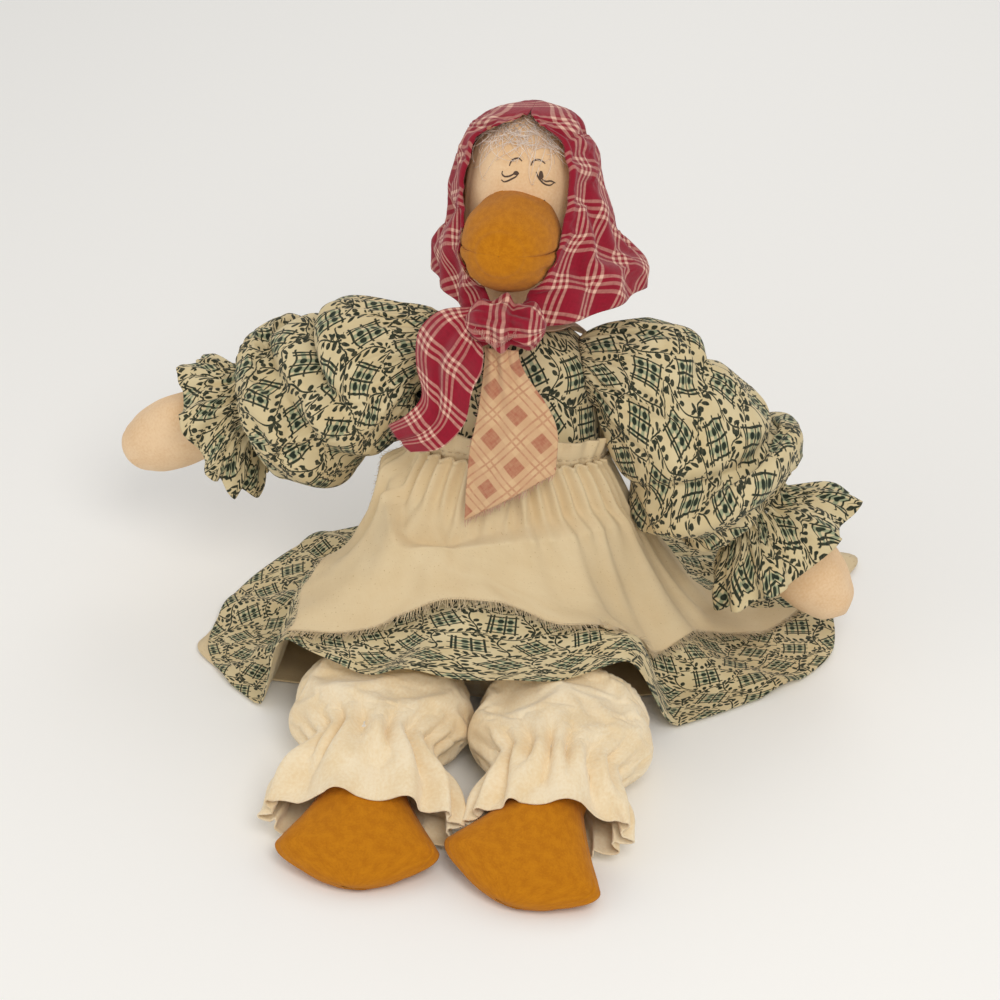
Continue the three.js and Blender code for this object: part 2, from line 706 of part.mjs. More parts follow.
for (let r = 0; r <= 8; r++) {
  const row = [];
  for (let c = 0; c < skirtColumns; c++) {
    row.push(skirtSpot(skirtTurn(c), Math.pow(r / 8, 1.25), 0));
  }
  skirtRows.push(row);
}
piece(doll, "skirt", sheet(skirtRows, true), calico);

// Apron: a muslin panel gathered on a band, lying on the skirt.
// Its lower edge is high over the lap and lower at both corners.
const apronEnd = new THREE.SplineCurve(
  [
    [0, 0.98],
    [0.08, 0.78],
    [0.2, 0.58],
    [0.3, 0.58],
    [0.44, 0.74],
    [0.6, 0.75],
    [0.8, 0.79],
    [1, 0.9],
  ].map(([share, down]) => new THREE.Vector2(share, down)),
);
const apronRows = [];
for (let r = 0; r <= 10; r++) {
  const row = [];
  const right = mix(apronRight, apronCorner, smooth(r / 10, 0.1, 1));
  for (let c = 0; c <= 24; c++) {
    const turn = mix(right, apronLeft, c / 24);
    row.push(skirtSpot(turn, mix(0.03, apronEnd.getPoint(c / 24).y, r / 10), cloth + gap * 8));
  }
  apronRows.push(row);
}
const overSkirt = sheet(skirtRows, true, cloth + gap * 2);
piece(doll, "apron", cut(sheet(apronRows), overSkirt), muslin);

const bandRows = [
  bandRow(bandHeight, bandGrow + 2, 4),
  bandRow(bandHeight * 0.5, bandGrow + 1, 2),
  bandRow(1.5, bandGrow, 0),
];
piece(doll, "apron_band", sheet(bandRows, true, 1.6), muslin);

// Apron bow, tied at the back of the waist.
const bowAt = spineSpot(0, waistD + bandGrow + 7.2, waistHeight + bandHeight * 0.5);
const bowLoop = (side) => {
  const loop = new THREE.SphereGeometry(1, 10, 6);
  loop.scale(bowReach / 2, bowReach * 0.12, bowReach * 0.24);
  loop.translate((side * bowReach) / 2, 0, 1);
  return loop;
};
const bowEnd = (side) => {
  const end = new THREE.BoxGeometry(bowEndWidth, cloth * 2, bowEndLength);
  end.translate(0, 0, -bowEndLength / 2).rotateX(0.34).rotateY(side * -0.32);
  return end;
};
const bowKnot = new THREE.SphereGeometry(bowEndWidth * 0.55, 8, 6);
const bow = join(bowKnot, bowLoop(1), bowLoop(-1), bowEnd(1), bowEnd(-1));
const bowPiece = piece(doll, "apron_bow", bow, muslin);
bowPiece.position.copy(bowAt);
bowPiece.rotation.x = -recline * 0.2;

// Pantaloons: a seat round the bottom of the trunk, and a wide leg each side.
const hip = (side) => {
  const across = hipHalfSpacing / bellyHalfWidth;
  const ahead = bellyHalfDepth * Math.sqrt(Math.max(1 - across * across, 0.04));
  return point(side * hipHalfSpacing, -ahead - legRadius + gap, pantHalfHeight - 1.4);
};
const seatStations = trunkStations.filter(([up]) => up < trunkLength * 0.45);
const seatOuter = seatStations.map(([up, w, d], i) => [i === 0 ? seatFloor : up, w, d]);
const seatInner = seatStations.map(([up, w, d], i) => [i === 0 ? seatFloor + cloth : up, w, d]);
const seatShell = cup(
  trunkRings(gap * 2 + cloth, 16, seatOuter),
  trunkRings(gap * 2, 16, seatInner),
);
const hipBalls = [1, -1].map((side) => ball(legRadius + gap, hip(side)));
piece(doll, "pantaloon_seat", cut(seatShell, ...hipBalls), flannel);

// Waist elastic of the pantaloons, just above their seat.
const seatTop = seatStations.at(-1);
const waistBand = [[0, 0], [0, 1], [1, 1], [1, 0]].map(([up, out]) => {
  const grow = gap * 2 + elasticThick * out;
  const height = seatTop[0] + gap + elasticWidth * up;
  return trunkRing(height, seatTop[1] + grow, seatTop[2] + grow, 20);
});
piece(doll, "pantaloon_waist_elastic", skin(waistBand, true), elastic);

const legEnd = legLength - footLength * 0.22 - gap * 2; // the heel of the foot is sewn on here
const legStations = [
  [-legRadius, 2.5],
  [-legRadius * 0.75, legRadius * 0.66],
  [0, legRadius],
  [cuffAt * 0.55, legRadius * 1.03],
  [cuffAt - 4, legRadius * 0.92],
  [legEnd - 4, legRadius * 0.78],
  [legEnd - 1, legRadius * 0.5],
  [legEnd, legRadius * 0.12],
];

// Foot stations: [share of the length, share of the half width, share of the half thickness].
const footStations = [
  [-0.22, 0.08, 0.22],
  [-0.15, 0.3, 0.6],
  [0.05, 0.44, 1.05],
  [0.4, 0.76, 1],
  [0.65, 1, 0.82],
  [0.74, 0.96, 0.7],
  [0.9, 0.54, 0.52],
  [1, 0.14, 0.25],
];

function addLeg(side, name) {
  const leg = new THREE.Group();
  leg.position.copy(hip(side));
  leg.rotation.set(Math.PI / 2, 0, 0);
  const turned = new THREE.Group();
  turned.rotation.y = side > 0 ? leftLegYaw : -rightLegYaw;
  leg.add(turned);
  doll.add(leg);
  const outer = swell(legStations, 0, { sides: 10, steps: 8 });
  const inner = swell(legStations, cloth, { sides: 10, steps: 8 }).slice(1);
  piece(turned, `${name}_leg_cover`, cup(outer.reverse(), inner.reverse()), skinCloth);
  const fill = swell(legStations, cloth + gap * 2, { sides: 5, steps: 8 }).slice(1);
  piece(turned, `${name}_leg_stuffing`, skin(fill), filling);
  const inside = radiusAt(legStations, cuffAt - elasticWidth / 2) * 1.02 + gap;
  const outside = inside + elasticThick;
  const band = [[inside, -0.5], [outside, -0.5], [outside, 0.5], [inside, 0.5]].map(
    ([r, z]) => oval(point(0, 0, cuffAt + z * elasticWidth), r, r, 18),
  );
  piece(turned, `${name}_cuff_elastic`, skin(band, true), elastic);

  // Wide leg of the pantaloons, gathered at the cuff with a frill beyond
  const path = new THREE.LineCurve3(point(0, 0, 8), point(0, 0, cuffAt + cuffFrill));
  const knee = cuffAt - 8;
  const gathered = outside + gap + cloth + 0.6;
  const cuffHalfWidth = side > 0 ? leftCuffHalfWidth : rightCuffHalfWidth;
  const stations = [
    [0, pantHalfWidth * 0.9, pantHalfHeight - 1, 0.6],
    [knee * 0.3, pantHalfWidth, pantHalfHeight - 1, 0.8],
    [knee * 0.62, pantHalfWidth * 0.97, pantHalfHeight - 1, 1],
    [knee * 0.85, pantHalfWidth * 0.8, pantHalfHeight - 1.6, 1.6],
    [knee - elasticWidth / 2, gathered, gathered, 0.9],
    [knee + elasticWidth / 2, gathered, gathered, 0.9],
    [knee + cuffFrill * 0.45, mix(gathered, cuffHalfWidth, 0.6), pantHalfHeight - 1.8, 1.8],
    [path.getLength(), cuffHalfWidth - 2, pantHalfHeight - 2.5, 2.5],
  ];
  const level = point(1, 0, 0);
  const pant = tube(
    pathRings(path, level, stations, 0, { sides: 18, folds: 6 }),
    pathRings(path, level, stations, cloth, { sides: 18, folds: 6 }),
  );
  piece(turned, `${name}_pantaloon_leg`, pant, flannel);

  // Foot: a wide webbed pad, with a top and a sole seamed round the edge
  const foot = new THREE.Group();
  const footTurn = side > 0 ? leftFootTurn : rightFootTurn;
  foot.position.set(0, 0, legLength);
  foot.rotation.set(footSlope, 0, 0);
  turned.add(foot);
  const footRings = (inset, sides = 10) =>
    footStations.map(([share, wide, thick], i, all) => {
      const end = i === 0 ? inset : i === all.length - 1 ? -inset : 0;
      const ring = [];
      for (let k = 0; k < sides; k++) {
        const turn = (k / sides) * 2 * Math.PI;
        const x = Math.max(footHalfWidth * wide - inset, 0.6) * Math.cos(turn);
        const y = Math.max(footHalfThickness * thick - inset, 0.6) * Math.sin(turn);
        ring.push(point(x, y, footLength * share + end));
      }
      return ring;
    });
  const ankle = ball(footHalfThickness * 0.16, point(0, 0, -footLength * 0.22), 8);
  const shell = cut(skin(footRings(0)), skin(footRings(cloth)), ankle);
  const slab = (sign) => {
    const box = new THREE.BoxGeometry(300, 100, 300);
    return box.translate(0, sign * (50 + gap / 2), 0);
  };
  const pad = new THREE.Group();
  pad.rotation.y = -side * footTurn;
  foot.add(pad);
  piece(pad, `${name}_foot_top`, within(shell, slab(1)), mustard);
  piece(pad, `${name}_foot_sole`, within(shell, slab(-1)), mustard);
  piece(pad, `${name}_foot_stuffing`, skin(footRings(cloth + gap * 2)), filling);
}
addLeg(1, "left");
addLeg(-1, "right");

// Petticoat: muslin, flat on the floor under the skirt at the sides and back.
const petticoatRows = [];
for (let r = 0; r <= 3; r++) {
  const row = [];
  for (let c = 0; c <= 24; c++) {
    const turn = mix(rad(66), rad(294), c / 24);
    const hem = hemSpot(turn);
    const pastLeft = Math.exp(-Math.pow((turn - rad(112)) / 0.3, 2));
    const pastRight = Math.exp(-Math.pow((turn - rad(278)) / 0.2, 2)) * 1.2;
    const shown = petticoatShow * (pastLeft + pastRight);
    const reach = 1 + (shown - 5) / skirtSpread;
    const start = point(8 * Math.sin(turn), -bellyHalfDepth * 0.68 - 6 * Math.cos(turn), 0);
    row.push(start.lerp(hem.multiplyScalar(reach), r / 3).setZ(cloth / 2));
  }
  petticoatRows.push(row);
}
piece(doll, "petticoat", sheet(petticoatRows), muslin);

export default doll;
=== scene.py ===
import math

import bpy
import numpy as np
from mathutils import Matrix, Vector
from mathutils.bvhtree import BVHTree


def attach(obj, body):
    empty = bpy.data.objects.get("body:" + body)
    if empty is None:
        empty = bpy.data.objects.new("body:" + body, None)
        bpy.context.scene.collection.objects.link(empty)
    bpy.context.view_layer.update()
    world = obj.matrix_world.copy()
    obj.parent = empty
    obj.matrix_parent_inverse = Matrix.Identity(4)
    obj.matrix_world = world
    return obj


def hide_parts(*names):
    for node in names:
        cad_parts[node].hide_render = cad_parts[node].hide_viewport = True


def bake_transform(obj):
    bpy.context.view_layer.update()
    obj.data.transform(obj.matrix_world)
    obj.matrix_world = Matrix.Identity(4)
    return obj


# A sitting cloth duck doll. Sizes below are millimetres, and meshes are made in metres.
# The doll faces -Y, and left and right are its own: left is +X.
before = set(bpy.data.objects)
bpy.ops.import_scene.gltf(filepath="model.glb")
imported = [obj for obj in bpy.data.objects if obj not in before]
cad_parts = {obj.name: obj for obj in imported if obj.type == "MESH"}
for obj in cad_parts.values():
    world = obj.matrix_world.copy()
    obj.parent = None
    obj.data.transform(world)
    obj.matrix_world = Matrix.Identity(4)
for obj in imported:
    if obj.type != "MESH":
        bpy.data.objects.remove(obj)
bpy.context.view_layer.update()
mm = 0.001
scene = bpy.context.scene
sideName = {1: "left", -1: "right"}


# Small sums
def mix(a, b, share):
    return a + (b - a) * share


def smooth(x, low, high):
    share = np.clip((x - low) / (high - low), 0, 1)
    return share * share * (3 - 2 * share)


def hump(x, middle, width):
    return np.exp(-(((x - middle) / width) ** 2))


def follow(table, at):  # a smooth curve through the rows of a table, by its first column
    table = np.array(table, float)
    x, y = table[:, 0], table[:, 1:]
    slope = np.gradient(y, x, axis=0)
    at = np.asarray(at, float)
    i = np.clip(np.searchsorted(x, at) - 1, 0, len(x) - 2)
    run = (x[i + 1] - x[i])[..., None]
    t = (at - x[i])[..., None] / run
    near = (2 * t**3 - 3 * t**2 + 1) * y[i] + (t**3 - 2 * t**2 + t) * run * slope[i]
    far = (3 * t**2 - 2 * t**3) * y[i + 1] + (t**3 - t**2) * run * slope[i + 1]
    return np.moveaxis(near + far, -1, 0)


def route(points, count):  # evenly spaced points on a smooth line through a few
    points = np.array(points, float)
    steps = np.r_[0, np.cumsum(np.linalg.norm(np.diff(points, axis=0), axis=1))]
    table = np.c_[steps, points]
    fine = follow(table, np.linspace(0, steps[-1], 400)).T
    place, whole = lineAt(fine)
    return place(np.linspace(0, whole, count), fine), whole


def rumple(u, v, size, seed):  # soft uneven ripples, from -1 to 1, about this size in mm
    dice = np.random.default_rng(seed)
    total = 0
    for _ in range(9):
        angle, phase = dice.uniform(0, 2 * np.pi, 2)
        wave = size * dice.uniform(0.6, 1.7)
        total = total + np.sin((u * np.cos(angle) + v * np.sin(angle)) * 2 * np.pi / wave + phase)
    return total / 4.2


def lengths(spots, axis):  # running length along the rows or columns of a grid
    step = np.linalg.norm(np.diff(spots, axis=axis), axis=-1)
    pad = np.zeros_like(np.take(step, [0], axis=axis))
    return np.concatenate([pad, np.cumsum(step, axis=axis)], axis=axis)


def normals(spots, closed=False):
    if closed:
        across = np.roll(spots, -1, 1) - np.roll(spots, 1, 1)
    else:
        across = np.gradient(spots, axis=1)
    made = np.cross(across, np.gradient(spots, axis=0))
    return made / np.maximum(np.linalg.norm(made, axis=-1, keepdims=True), 1e-9)


# Making pieces
gridSize = {}  # rows, columns and whether it closes, by piece
cutScale = 0.1  # of the layer that holds the flat cloth, for each mm
plainUp = np.array([0.0, 0, 1])


def sideways(low, high, count):
    return np.linspace(low, high, count)[None, :]


def lengthways(low, high, count):
    return np.linspace(low, high, count)[:, None]


def turnsOf(count):
    return np.linspace(0, 2 * np.pi, count, endpoint=False)[None, :]


def tube(middle, one, two, wide, tall, turn):  # rings of points round a line
    return middle + (wide * np.cos(turn))[..., None] * one + (tall * np.sin(turn))[..., None] * two


def newPiece(name, points, faces, cut=None):  # points and their places on the flat cloth, in mm
    points = np.array(points)
    mesh = bpy.data.meshes.new(name)
    mesh.from_pydata((points * mm).tolist(), [], faces)
    if cut is None:
        loops = np.zeros(len(mesh.loops), np.int32)
        mesh.loops.foreach_get("vertex_index", loops)
        cut = points[loops][:, [0, 2]]
    layer = mesh.uv_layers.new(name="cut")
    layer.data.foreach_set("uv", (np.array(cut) * cutScale).ravel())
    mesh.shade_smooth()
    made = bpy.data.objects.new(name, mesh)
    scene.collection.objects.link(made)
    return made


def clothGrid(name, spots, flat, closed=False, caps=""):
    # spots is rows x columns x 3 in mm. flat is the same grid on the cut cloth, one
    # column more where it closes, in mm. caps closes the first row, the last, or both.
    rows, cols = spots.shape[:2]
    gridSize[name] = rows, cols, closed
    r, c = np.meshgrid(np.arange(rows - 1), np.arange(cols if closed else cols - 1), indexing="ij")
    n = (c + 1) % cols
    faces = np.stack([r * cols + c, r * cols + n, (r + 1) * cols + n, (r + 1) * cols + c], -1)
    faces = faces.reshape(-1, 4).tolist()
    cut = np.stack([flat[r, c], flat[r, c + 1], flat[r + 1, c + 1], flat[r + 1, c]], -2)
    cut = cut.reshape(-1, 2).tolist()
    points = spots.reshape(-1, 3).tolist()
    for end in caps.split():
        row = 0 if end == "first" else rows - 1
        points.append(spots[row].mean(0).tolist())
        for k in range(cols):
            pair = [row * cols + k, row * cols + (k + 1) % cols]
            faces.append((pair[::-1] if end == "first" else pair) + [len(points) - 1])
            for i in faces[-1]:
                cut.append([points[i][0], points[i][1]])
    return newPiece(name, points, faces, cut)


def flatOf(u, v):
    return np.stack(np.broadcast_arrays(u, v), -1)


def fixed(piece):  # the piece's modifiers become its mesh
    bpy.context.view_layer.update()
    graph = bpy.context.evaluated_depsgraph_get()
    found = piece.evaluated_get(graph)
    mesh = bpy.data.meshes.new_from_object(found, preserve_all_data_layers=True, depsgraph=graph)
    piece.modifiers.clear()
    piece.data = mesh
    return piece


def layered(piece, thick, face, reverse=None, side=-1):  # gives a sheet its thickness and finish
    piece.data.materials.append(face)
    piece.data.materials.append(reverse or face)
    skin = piece.modifiers.new("layer", "SOLIDIFY")
    skin.thickness = thick * mm
    skin.offset = side
    skin.material_offset = 1
    skin.material_offset_rim = 0
    return fixed(piece)


def placed(piece, body, slot, *nodes):
    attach(piece, body)
    if nodes:
        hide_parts(*nodes)
    return piece


def stuffed(piece, finish, fill, body, slot, *nodes):  # a filled cover in one finish
    piece.data.materials.append(finish)
    placed(piece, body, slot, *nodes)
    return piece


def spotsOf(piece):
    found = np.zeros(len(piece.data.vertices) * 3, np.float32)
    piece.data.vertices.foreach_get("co", found)
    return found.reshape(-1, 3).astype(float) / mm


def gridOf(piece):
    rows, cols, _ = gridSize[piece.name]
    return spotsOf(piece).reshape(rows, cols, 3)


def moved(piece, spots):  # gives the piece's points new places, in mm
    piece.data.vertices.foreach_set("co", (spots * mm).astype(np.float32).ravel())
    piece.data.update()


def recut(piece, wide, fromLast=False):
    # The print follows the cloth as it lies: across by its cut width, along by its real length.
    rows, cols, closed = gridSize[piece.name]
    v = lengths(gridOf(piece), 0)
    v = v[-1:] - v if fromLast else v
    u = np.linspace(0, wide, cols + 1)
    v = np.concatenate([v, v[:, :1]], 1) if closed else v
    n = np.arange(cols if closed else cols - 1)
    r, c = np.meshgrid(np.arange(rows - 1), n, indexing="ij")
    corners = (0, 0), (0, 1), (1, 1), (1, 0)
    cut = np.stack([np.stack([u[c + b], v[r + a, c + b]], -1) for a, b in corners], -2)
    piece.data.uv_layers["cut"].data.foreach_set("uv", (cut * cutScale).astype(np.float32).ravel())


def surface(piece, inside=None):  # the piece's faces, turned outward, for finding near points in mm
    faces = piece.data.polygons
    found = {}
    for key, wide in (("center", 3), ("normal", 3), ("area", 1)):
        found[key] = np.zeros(len(faces) * wide, np.float32)
        faces.foreach_get(key, found[key])
    spots = spotsOf(piece)
    away = found["center"].reshape(-1, 3) / mm - (spots.mean(0) if inside is None else inside)
    outward = (away * found["normal"].reshape(-1, 3)).sum(1) @ found["area"] > 0
    return BVHTree.FromPolygons(spots.tolist(), [tuple(f.vertices)[:: 1 if outward else -1] for f in faces])


def evened(values, closed, times):  # each value of a grid nears the mean of its neighbours
    for _ in range(times):
        up, down = np.concatenate([values[:1], values[:-1]]), np.concatenate([values[1:], values[-1:]])
        left, right = np.roll(values, 1, 1), np.roll(values, -1, 1)
        if not closed:
            left[:, 0], right[:, -1] = values[:, 0], values[:, -1]
        values = values * 0.2 + (up + down + left + right) * 0.2
    return values


def keepClear(piece, others, gap, reach=14):
    # Points inside another piece, or nearer than the gap in mm, come out to the gap, and their
    # neighbours ease along with them.
    rows, cols, closed = gridSize[piece.name]
    for ease in (5, 0):
        before = spotsOf(piece)
        spots = before.copy()
        for tree in others:
            for i, spot in enumerate(spots):
                near, normal, _, far = tree.find_nearest(spot, reach)
                if near is None:
                    continue
                depth = (Vector(spot) - near) @ normal
                if depth < gap and (far < gap or depth * depth > 0.6 * far * far):
                    spots[i] = spot + np.array(normal) * (gap - depth)
        push = evened((spots - before).reshape(rows, cols, 3), closed, ease)
        moved(piece, before + push.reshape(-1, 3))


def finer(values, kept, count, closed):  # from the kept rows to every row
    each = np.arange(count)
    if closed:
        kept, values = np.r_[kept, count], np.concatenate([values, values[:1]])
    k = np.clip(np.searchsorted(kept, each, "right") - 1, 0, len(kept) - 2)
    return mix(values[k], values[k + 1], ((each - kept[k]) / (kept[k + 1] - kept[k]))[:, None, None])


settling = dict(frames=20, scale=10.0, grips=25, quality=5, mass=0.25, air=3, stretch=18, shear=8)


def settle(piece, hold, spare, pull, bend, cap):
    # Lets a cloth find its own wrinkles, on every second row and column. hold is each point's grip
    # on its place, from 0 to 1, spare the share of extra cloth, cap the most that a point moves, in mm.
    rows, cols, closed = gridSize[piece.name]
    before = gridOf(piece)
    r = np.unique(np.r_[0:rows:2, rows - 1])
    c = np.arange(0, cols, 2) if closed else np.unique(np.r_[0:cols:2, cols - 1])
    big, grips = settling["scale"], settling["grips"]
    start = before[np.ix_(r, c)]
    work = clothGrid("settling", start * big, np.zeros((len(r), len(c) + 1, 2)), closed)
    grip = work.vertex_groups.new(name="hold")
    levels = np.round(np.clip(hold[np.ix_(r, c)], 0, 1) * grips).astype(int).ravel()
    for level in np.unique(levels):
        grip.add(np.flatnonzero(levels == level).tolist(), level / grips, "REPLACE")
    cloth = work.modifiers.new("cloth", "CLOTH")
    made = cloth.settings
    made.quality = settling["quality"]
    made.mass = settling["mass"]
    made.air_damping = settling["air"]
    made.tension_stiffness = made.compression_stiffness = settling["stretch"]
    made.shear_stiffness = settling["shear"]
    made.bending_stiffness = bend
    made.vertex_group_mass = "hold"
    made.pin_stiffness = 1
    made.shrink_min = -spare
    made.effector_weights.gravity = pull
    cloth.collision_settings.use_collision = False
    cloth.point_cache.frame_start = 1
    cloth.point_cache.frame_end = settling["frames"]
    for step in range(1, settling["frames"] + 1):
        scene.frame_set(step)
    graph = bpy.context.evaluated_depsgraph_get()
    after = np.zeros(len(work.data.vertices) * 3, np.float32)
    work.evaluated_get(graph).data.vertices.foreach_get("co", after)
    move = after.reshape(start.shape).astype(float) / big / mm - start
    far = np.linalg.norm(move, axis=2, keepdims=True)
    move *= np.minimum(1, cap / np.maximum(far, 1e-9))
    move = finer(move, r, rows, False)
    move = finer(move.swapaxes(0, 1), c, cols, closed).swapaxes(0, 1)
    mesh = work.data
    bpy.data.objects.remove(work)
    bpy.data.meshes.remove(mesh)
    scene.frame_set(1)
    print("settled", piece.name, "moved %.1f mm, up to %.1f" % (far.mean(), far.max()))
    moved(piece, before + move)


def threads(name, lines, thick, finish):  # thin round threads through lists of points
    points, faces = [], []
    for line in lines:
        line = np.array(line, float)
        run = np.gradient(line, axis=0)
        run /= np.maximum(np.linalg.norm(run, axis=1, keepdims=True), 1e-9)
        across = np.cross(run, [0.31, 0.52, 0.79])
        across /= np.maximum(np.linalg.norm(across, axis=1, keepdims=True), 1e-9)
        over = np.cross(run, across)
        first = len(points)
        for k, spot in enumerate(line):
            size = thick * (1 - 0.35 * k / (len(line) - 1))
            for angle in (0, 2.1, 4.2):
                points.append(spot + size * (math.cos(angle) * across[k] + math.sin(angle) * over[k]))
        for k in range(len(line) - 1):
            for j in range(3):
                a, b = first + 3 * k + j, first + 3 * k + (j + 1) % 3
                faces.append((a, b, b + 3, a + 3))
        last = first + 3 * (len(line) - 1)
        faces.append((first + 2, first + 1, first))
        faces.append((last, last + 1, last + 2))
    made = newPiece(name, points, faces)
    made.data.materials.append(finish)
    return made


def lineAt(line):  # gives the places at any lengths along a line of points, and its whole length
    far = np.r_[0, np.cumsum(np.linalg.norm(np.diff(line, axis=0), axis=1))]
    return lambda at, values: np.stack([np.interp(at, far, values[:, k]) for k in range(3)], -1), far[-1]


def frayed(name, edge, outward, reach, every, thick, finish, seed):
    # Loose thread ends along an edge of points, each with its own length and droop.
    dice = np.random.default_rng(seed)
    place, whole = lineAt(edge)
    lines = []
    for at in np.arange(0, whole, every):
        at = at + dice.uniform(-0.4, 0.4) * every
        root, way = place(at, edge), place(at, outward)
        way = way / max(np.linalg.norm(way), 1e-9)
        side = dice.normal(0, 0.35, 3)
        length = reach * dice.uniform(0.45, 1.15)
        share = lengthways(0, 1, 5)
        bend = side * share**2 * 0.55 + np.array([0, 0, -0.18]) * share**2
        lines.append(root - way * 0.8 + (way * share + bend) * length)
    return threads(name, lines, thick, finish)


def stitched(name, line, outward, stitch, space, thick, finish):  # a row of running stitches
    place, whole = lineAt(line)
    rise = np.array([-0.3, 0.75, 1, 0.75, -0.3])[:, None]
    lines = []
    for start in np.arange(space, whole - stitch, stitch + space):
        at = start + stitch * np.linspace(0, 1, 5)
        lines.append(place(at, line) + place(at, outward) * thick * 1.2 * rise)
    return threads(name, lines, thick, finish)


# Finishes
class Wire:  # a value inside a material, for use in plain sums
    def __init__(self, tree, socket):
        self.tree = tree
        self.socket = socket

    def run(self, kind, *others):
        node = self.tree.nodes.new("ShaderNodeMath")
        node.operation = kind
        for spot, value in zip(node.inputs, (self, *others)):
            if isinstance(value, Wire):
                self.tree.links.new(value.socket, spot)
            else:
                spot.default_value = value
        return Wire(self.tree, node.outputs[0])

    def less(self):
        return self * -1 + 1

    def under(self, edge, soft):  # 1 below the edge and 0 above it
        node = self.tree.nodes.new("ShaderNodeMapRange")
        node.interpolation_type = "SMOOTHSTEP"
        self.tree.links.new(self.socket, node.inputs["Value"])
        node.inputs["From Min"].default_value = edge - soft
        node.inputs["From Max"].default_value = edge + soft
        node.inputs["To Min"].default_value = 1
        node.inputs["To Max"].default_value = 0
        return Wire(self.tree, node.outputs["Result"])


sums = dict(__add__="ADD", __sub__="SUBTRACT", __mul__="MULTIPLY", __truediv__="DIVIDE", __abs__="ABSOLUTE",
            sin="SINE", cos="COSINE", floor="FLOOR", fract="FRACT", most="MAXIMUM")
for sign, kind in sums.items():
    setattr(Wire, sign, lambda self, *others, kind=kind: self.run(kind, *others))


def tone(code):  # a colour from its six-figure screen code
    parts = [int(code[k:k + 2], 16) / 255 for k in (0, 2, 4)]
    return [*(c / 12.92 if c < 0.04045 else ((c + 0.055) / 1.055) ** 2.4 for c in parts), 1]


def spot2(u, v):  # two values as a vector
    node = u.tree.nodes.new("ShaderNodeCombineXYZ")
    u.tree.links.new(u.socket, node.inputs["X"])
    u.tree.links.new(v.socket, node.inputs["Y"])
    return Wire(u.tree, node.outputs[0])


def cloudy(u, v, size, detail=3):  # uneven patches about this size in mm, from 0 to 1
    node = u.tree.nodes.new("ShaderNodeTexNoise")
    node.noise_dimensions = "2D"
    node.inputs["Scale"].default_value = 1
    node.inputs["Detail"].default_value = detail
    u.tree.links.new(spot2(u / size, v / size).socket, node.inputs["Vector"])
    return Wire(u.tree, node.outputs["Fac"])


def dice2(u, v):  # a steady random number for each whole pair
    node = u.tree.nodes.new("ShaderNodeTexWhiteNoise")
    node.noise_dimensions = "2D"
    u.tree.links.new(spot2(u, v).socket, node.inputs["Vector"])
    return Wire(u.tree, node.outputs["Value"])


def dyed(share, low, high):  # a colour between two, by a share
    node = share.tree.nodes.new("ShaderNodeMix")
    node.data_type = "RGBA"
    share.tree.links.new(share.socket, node.inputs["Factor"])
    sockets = [s for s in node.inputs if s.type == "RGBA"]
    for spot, value in zip(sockets, (low, high)):
        if isinstance(value, Wire):
            share.tree.links.new(value.socket, spot)
        else:
            spot.default_value = value
    return Wire(share.tree, next(s for s in node.outputs if s.type == "RGBA"))


def newFinish(name, rough=0.92, sheen=0.15):
    made = bpy.data.materials.new(name)
    made.use_nodes = True
    tree = made.node_tree
    shader = tree.nodes["Principled BSDF"]
    shader.inputs["Roughness"].default_value = rough
    shader.inputs["Specular IOR Level"].default_value = 0.18
    shader.inputs["Sheen Weight"].default_value = sheen
    shader.inputs["Sheen Roughness"].default_value = 0.6
    cut = tree.nodes.new("ShaderNodeUVMap")
    cut.uv_map = "cut"
    parts = tree.nodes.new("ShaderNodeSeparateXYZ")
    tree.links.new(cut.outputs["UV"], parts.inputs[0])
    u, v = (Wire(tree, parts.outputs[axis]) * (1 / cutScale) for axis in "XY")
    return made, shader, u, v


def weaveHeight(u, v, pitch, uneven):  # plain weave with thicker and thinner threads
    across = (u + cloudy(u, v, 9) * uneven) * (math.pi / pitch)
    along = (v + cloudy(v, u, 11) * uneven) * (math.pi / pitch)
    return abs(across.sin()) * 0.5 + abs(along.sin()) * 0.5


def raised(shader, height, depth, strength):
    tree = shader.id_data
    node = tree.nodes.new("ShaderNodeBump")
    node.inputs["Strength"].default_value = strength
    node.inputs["Distance"].default_value = depth * mm
    tree.links.new(height.socket, node.inputs["Height"])
    tree.links.new(node.outputs[0], shader.inputs["Normal"])


def coloured(shader, colour):
    shader.id_data.links.new(colour.socket, shader.inputs["Base Color"])


# Calico: cream cotton printed with leafy vines and small tilted squares of check
calicoLook = dict(ground="e2d4ae", shade="d0bb8c", ink="17241a", faint="87977a",
                  across=27.0, down=23.0, square=7.6, tilt=2.2, leaf=1.78)


def leafy(s, t, pitch, size):  # a stem at t = 0 with leaves on both sides
    side = t.run("SIGN")
    step = (s + side * (pitch * 0.27)) / pitch
    pick = dice2(step.floor(), side)
    q = step.fract() * pitch - pitch / 2
    a = abs(t) - (pick * 0.5 + 1.05) * size
    run = q * 0.62 + a * 0.78
    over = a * 0.62 - q * 0.78
    leaf = (run / size).run("POWER", 2) + (over / (size * 0.58)).run("POWER", 2)
    stalk = abs(over).under(0.2, 0.1) * abs(t).under(size * 1.1, 0.2)
    return leaf.under(1, 0.2).most(stalk) * pick.under(0.84, 0.01)


